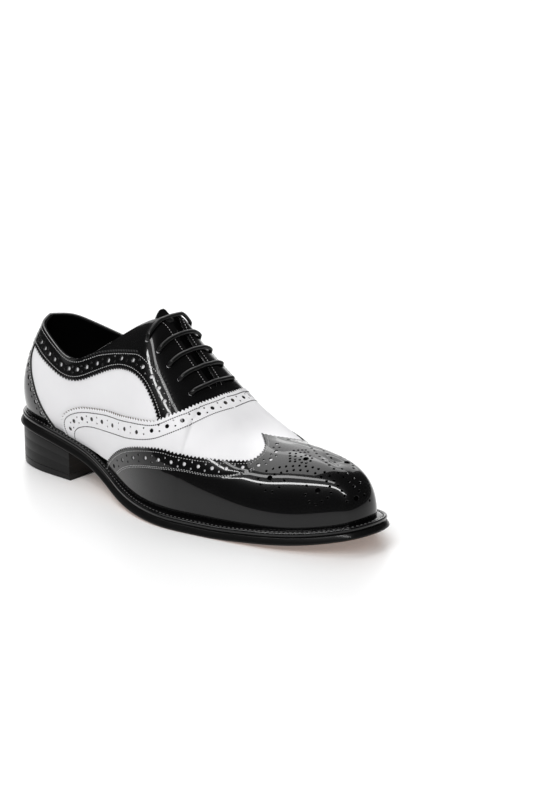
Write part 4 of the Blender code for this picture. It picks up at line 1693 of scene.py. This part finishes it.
# %% [markdown]
# ## The camera
# The camera stands in front of the outer side, a little above the shoe and far away, with a
# long lens, as a studio would have it. Its matrix is built from two angles and a slight roll,
# because a track constraint could not hold the roll.

# %% Camera
AZIMUTH, ELEVATION, ROLL = (math.radians(a) for a in (42.198, 18.117, 0.525))
DISTANCE = 2.7054
TARGET = Vector((0.217576, 0.0, 0.087255)) + Vector(SHIFT)
LENS = 178.70


def aim():
    back = Vector((math.sin(AZIMUTH) * math.cos(ELEVATION),
                   -math.cos(AZIMUTH) * math.cos(ELEVATION), math.sin(ELEVATION)))
    right = Vector((math.cos(AZIMUTH), math.sin(AZIMUTH), 0))
    up = back.cross(right)
    turned = right * math.cos(ROLL) + up * math.sin(ROLL)
    up = up * math.cos(ROLL) - right * math.sin(ROLL)
    lens = bpy.data.cameras.new("camera")
    lens.lens, lens.sensor_width, lens.clip_start = LENS, 36, 0.01
    camera = bpy.data.objects.new("camera", lens)
    place = Matrix((turned, up, back)).transposed().to_4x4()
    place.translation = TARGET + back * DISTANCE
    camera.matrix_world = place
    bpy.context.scene.collection.objects.link(camera)
    bpy.context.scene.camera = camera


aim()
print("camera:", LENS, "mm,", DISTANCE, "m away")

# %% [markdown]
# ## Floor and surroundings
# The shoe stands on a pale floor before a white background. If the surroundings were as white
# as they look, the black leather would turn grey, so only the camera sees them white, and the
# shoe mirrors a dark room.

# %% Floor and surroundings
def surroundings():
    bm = bmesh.new()
    bmesh.ops.create_grid(bm, x_segments=8, y_segments=8, size=3.0)
    floor = as_object("floor", bm)
    finish = Finish("floor_white", (0.77, 0.77, 0.77), 0.35, Emission_Color=(1, 1, 1, 1),
                    Emission_Strength=0.17)
    finish.set("Roughness", 0.32 + 0.06 * finish.noise(0.2))
    floor.data.materials.append(finish.material)
    world = bpy.data.worlds.new("studio")
    bpy.context.scene.world = world
    world.use_nodes = True
    nodes, links = world.node_tree.nodes, world.node_tree.links
    seen, rest = nodes.new("ShaderNodeBackground"), nodes["Background"]
    for shader, strength in ((seen, 1.0), (rest, 0.05)):
        shader.inputs["Color"].default_value = (1, 1, 1, 1)
        shader.inputs["Strength"].default_value = strength
    mix = nodes.new("ShaderNodeMixShader")
    links.new(nodes.new("ShaderNodeLightPath").outputs["Is Camera Ray"], mix.inputs["Fac"])
    links.new(rest.outputs[0], mix.inputs[1])
    links.new(seen.outputs[0], mix.inputs[2])
    links.new(mix.outputs[0], nodes["World Output"].inputs["Surface"])
    bpy.context.scene.view_settings.view_transform = "Standard"


surroundings()
print("background: white to the camera, dark to the shoe")

# %% [markdown]
# ## Lights
# Polished black leather shows only what it mirrors: the floor in its lower half, the lights as
# thin bright lines, and the dark room in between. So narrow strips draw the lines along the
# wing, and wide soft panels light the white leather. Lamps would leave small hot spots.

# %% Lights
# name, place, direction of the long side, size, brightness
LIGHTS = (
    ("main", (-0.55, 0.20, 1.5), (0, 1, 0), (1.8, 0.9), 3.0),
    ("edge", (-0.15, -0.84, 1.5), (1, 0, 0), (1.3, 0.13), 9.0),
    ("box", (-1.06, 1.17, 1.20), (0.741, 0.671, 0), (2.2, 1.3), 1.7),
    ("strip", (0.60, -1.30, 1.5), (1, 0, 0), (2.8, 0.12), 25.0),
    ("card", (-1.3, 1.45, 0.4), (0.741, 0.671, 0), (2.0, 0.8), 0.9),
)


def light(name, place, along, size, glow):
    lamp = bpy.data.lights.new(name, "AREA")
    lamp.shape = "RECTANGLE"
    lamp.size, lamp.size_y = size
    lamp.energy = glow * math.pi * size[0] * size[1]
    away = (Vector(place) - Vector((0.05, 0, 0.05))).normalized()
    across = away.cross(Vector(along)).normalized()
    holder = bpy.data.objects.new(name, lamp)
    holder.matrix_world = Matrix((across.cross(away), across, away)).transposed().to_4x4()
    holder.location = place
    holder.visible_camera = False
    bpy.context.scene.collection.objects.link(holder)


for row in LIGHTS:
    light(*row)
print("lights:", len(LIGHTS))
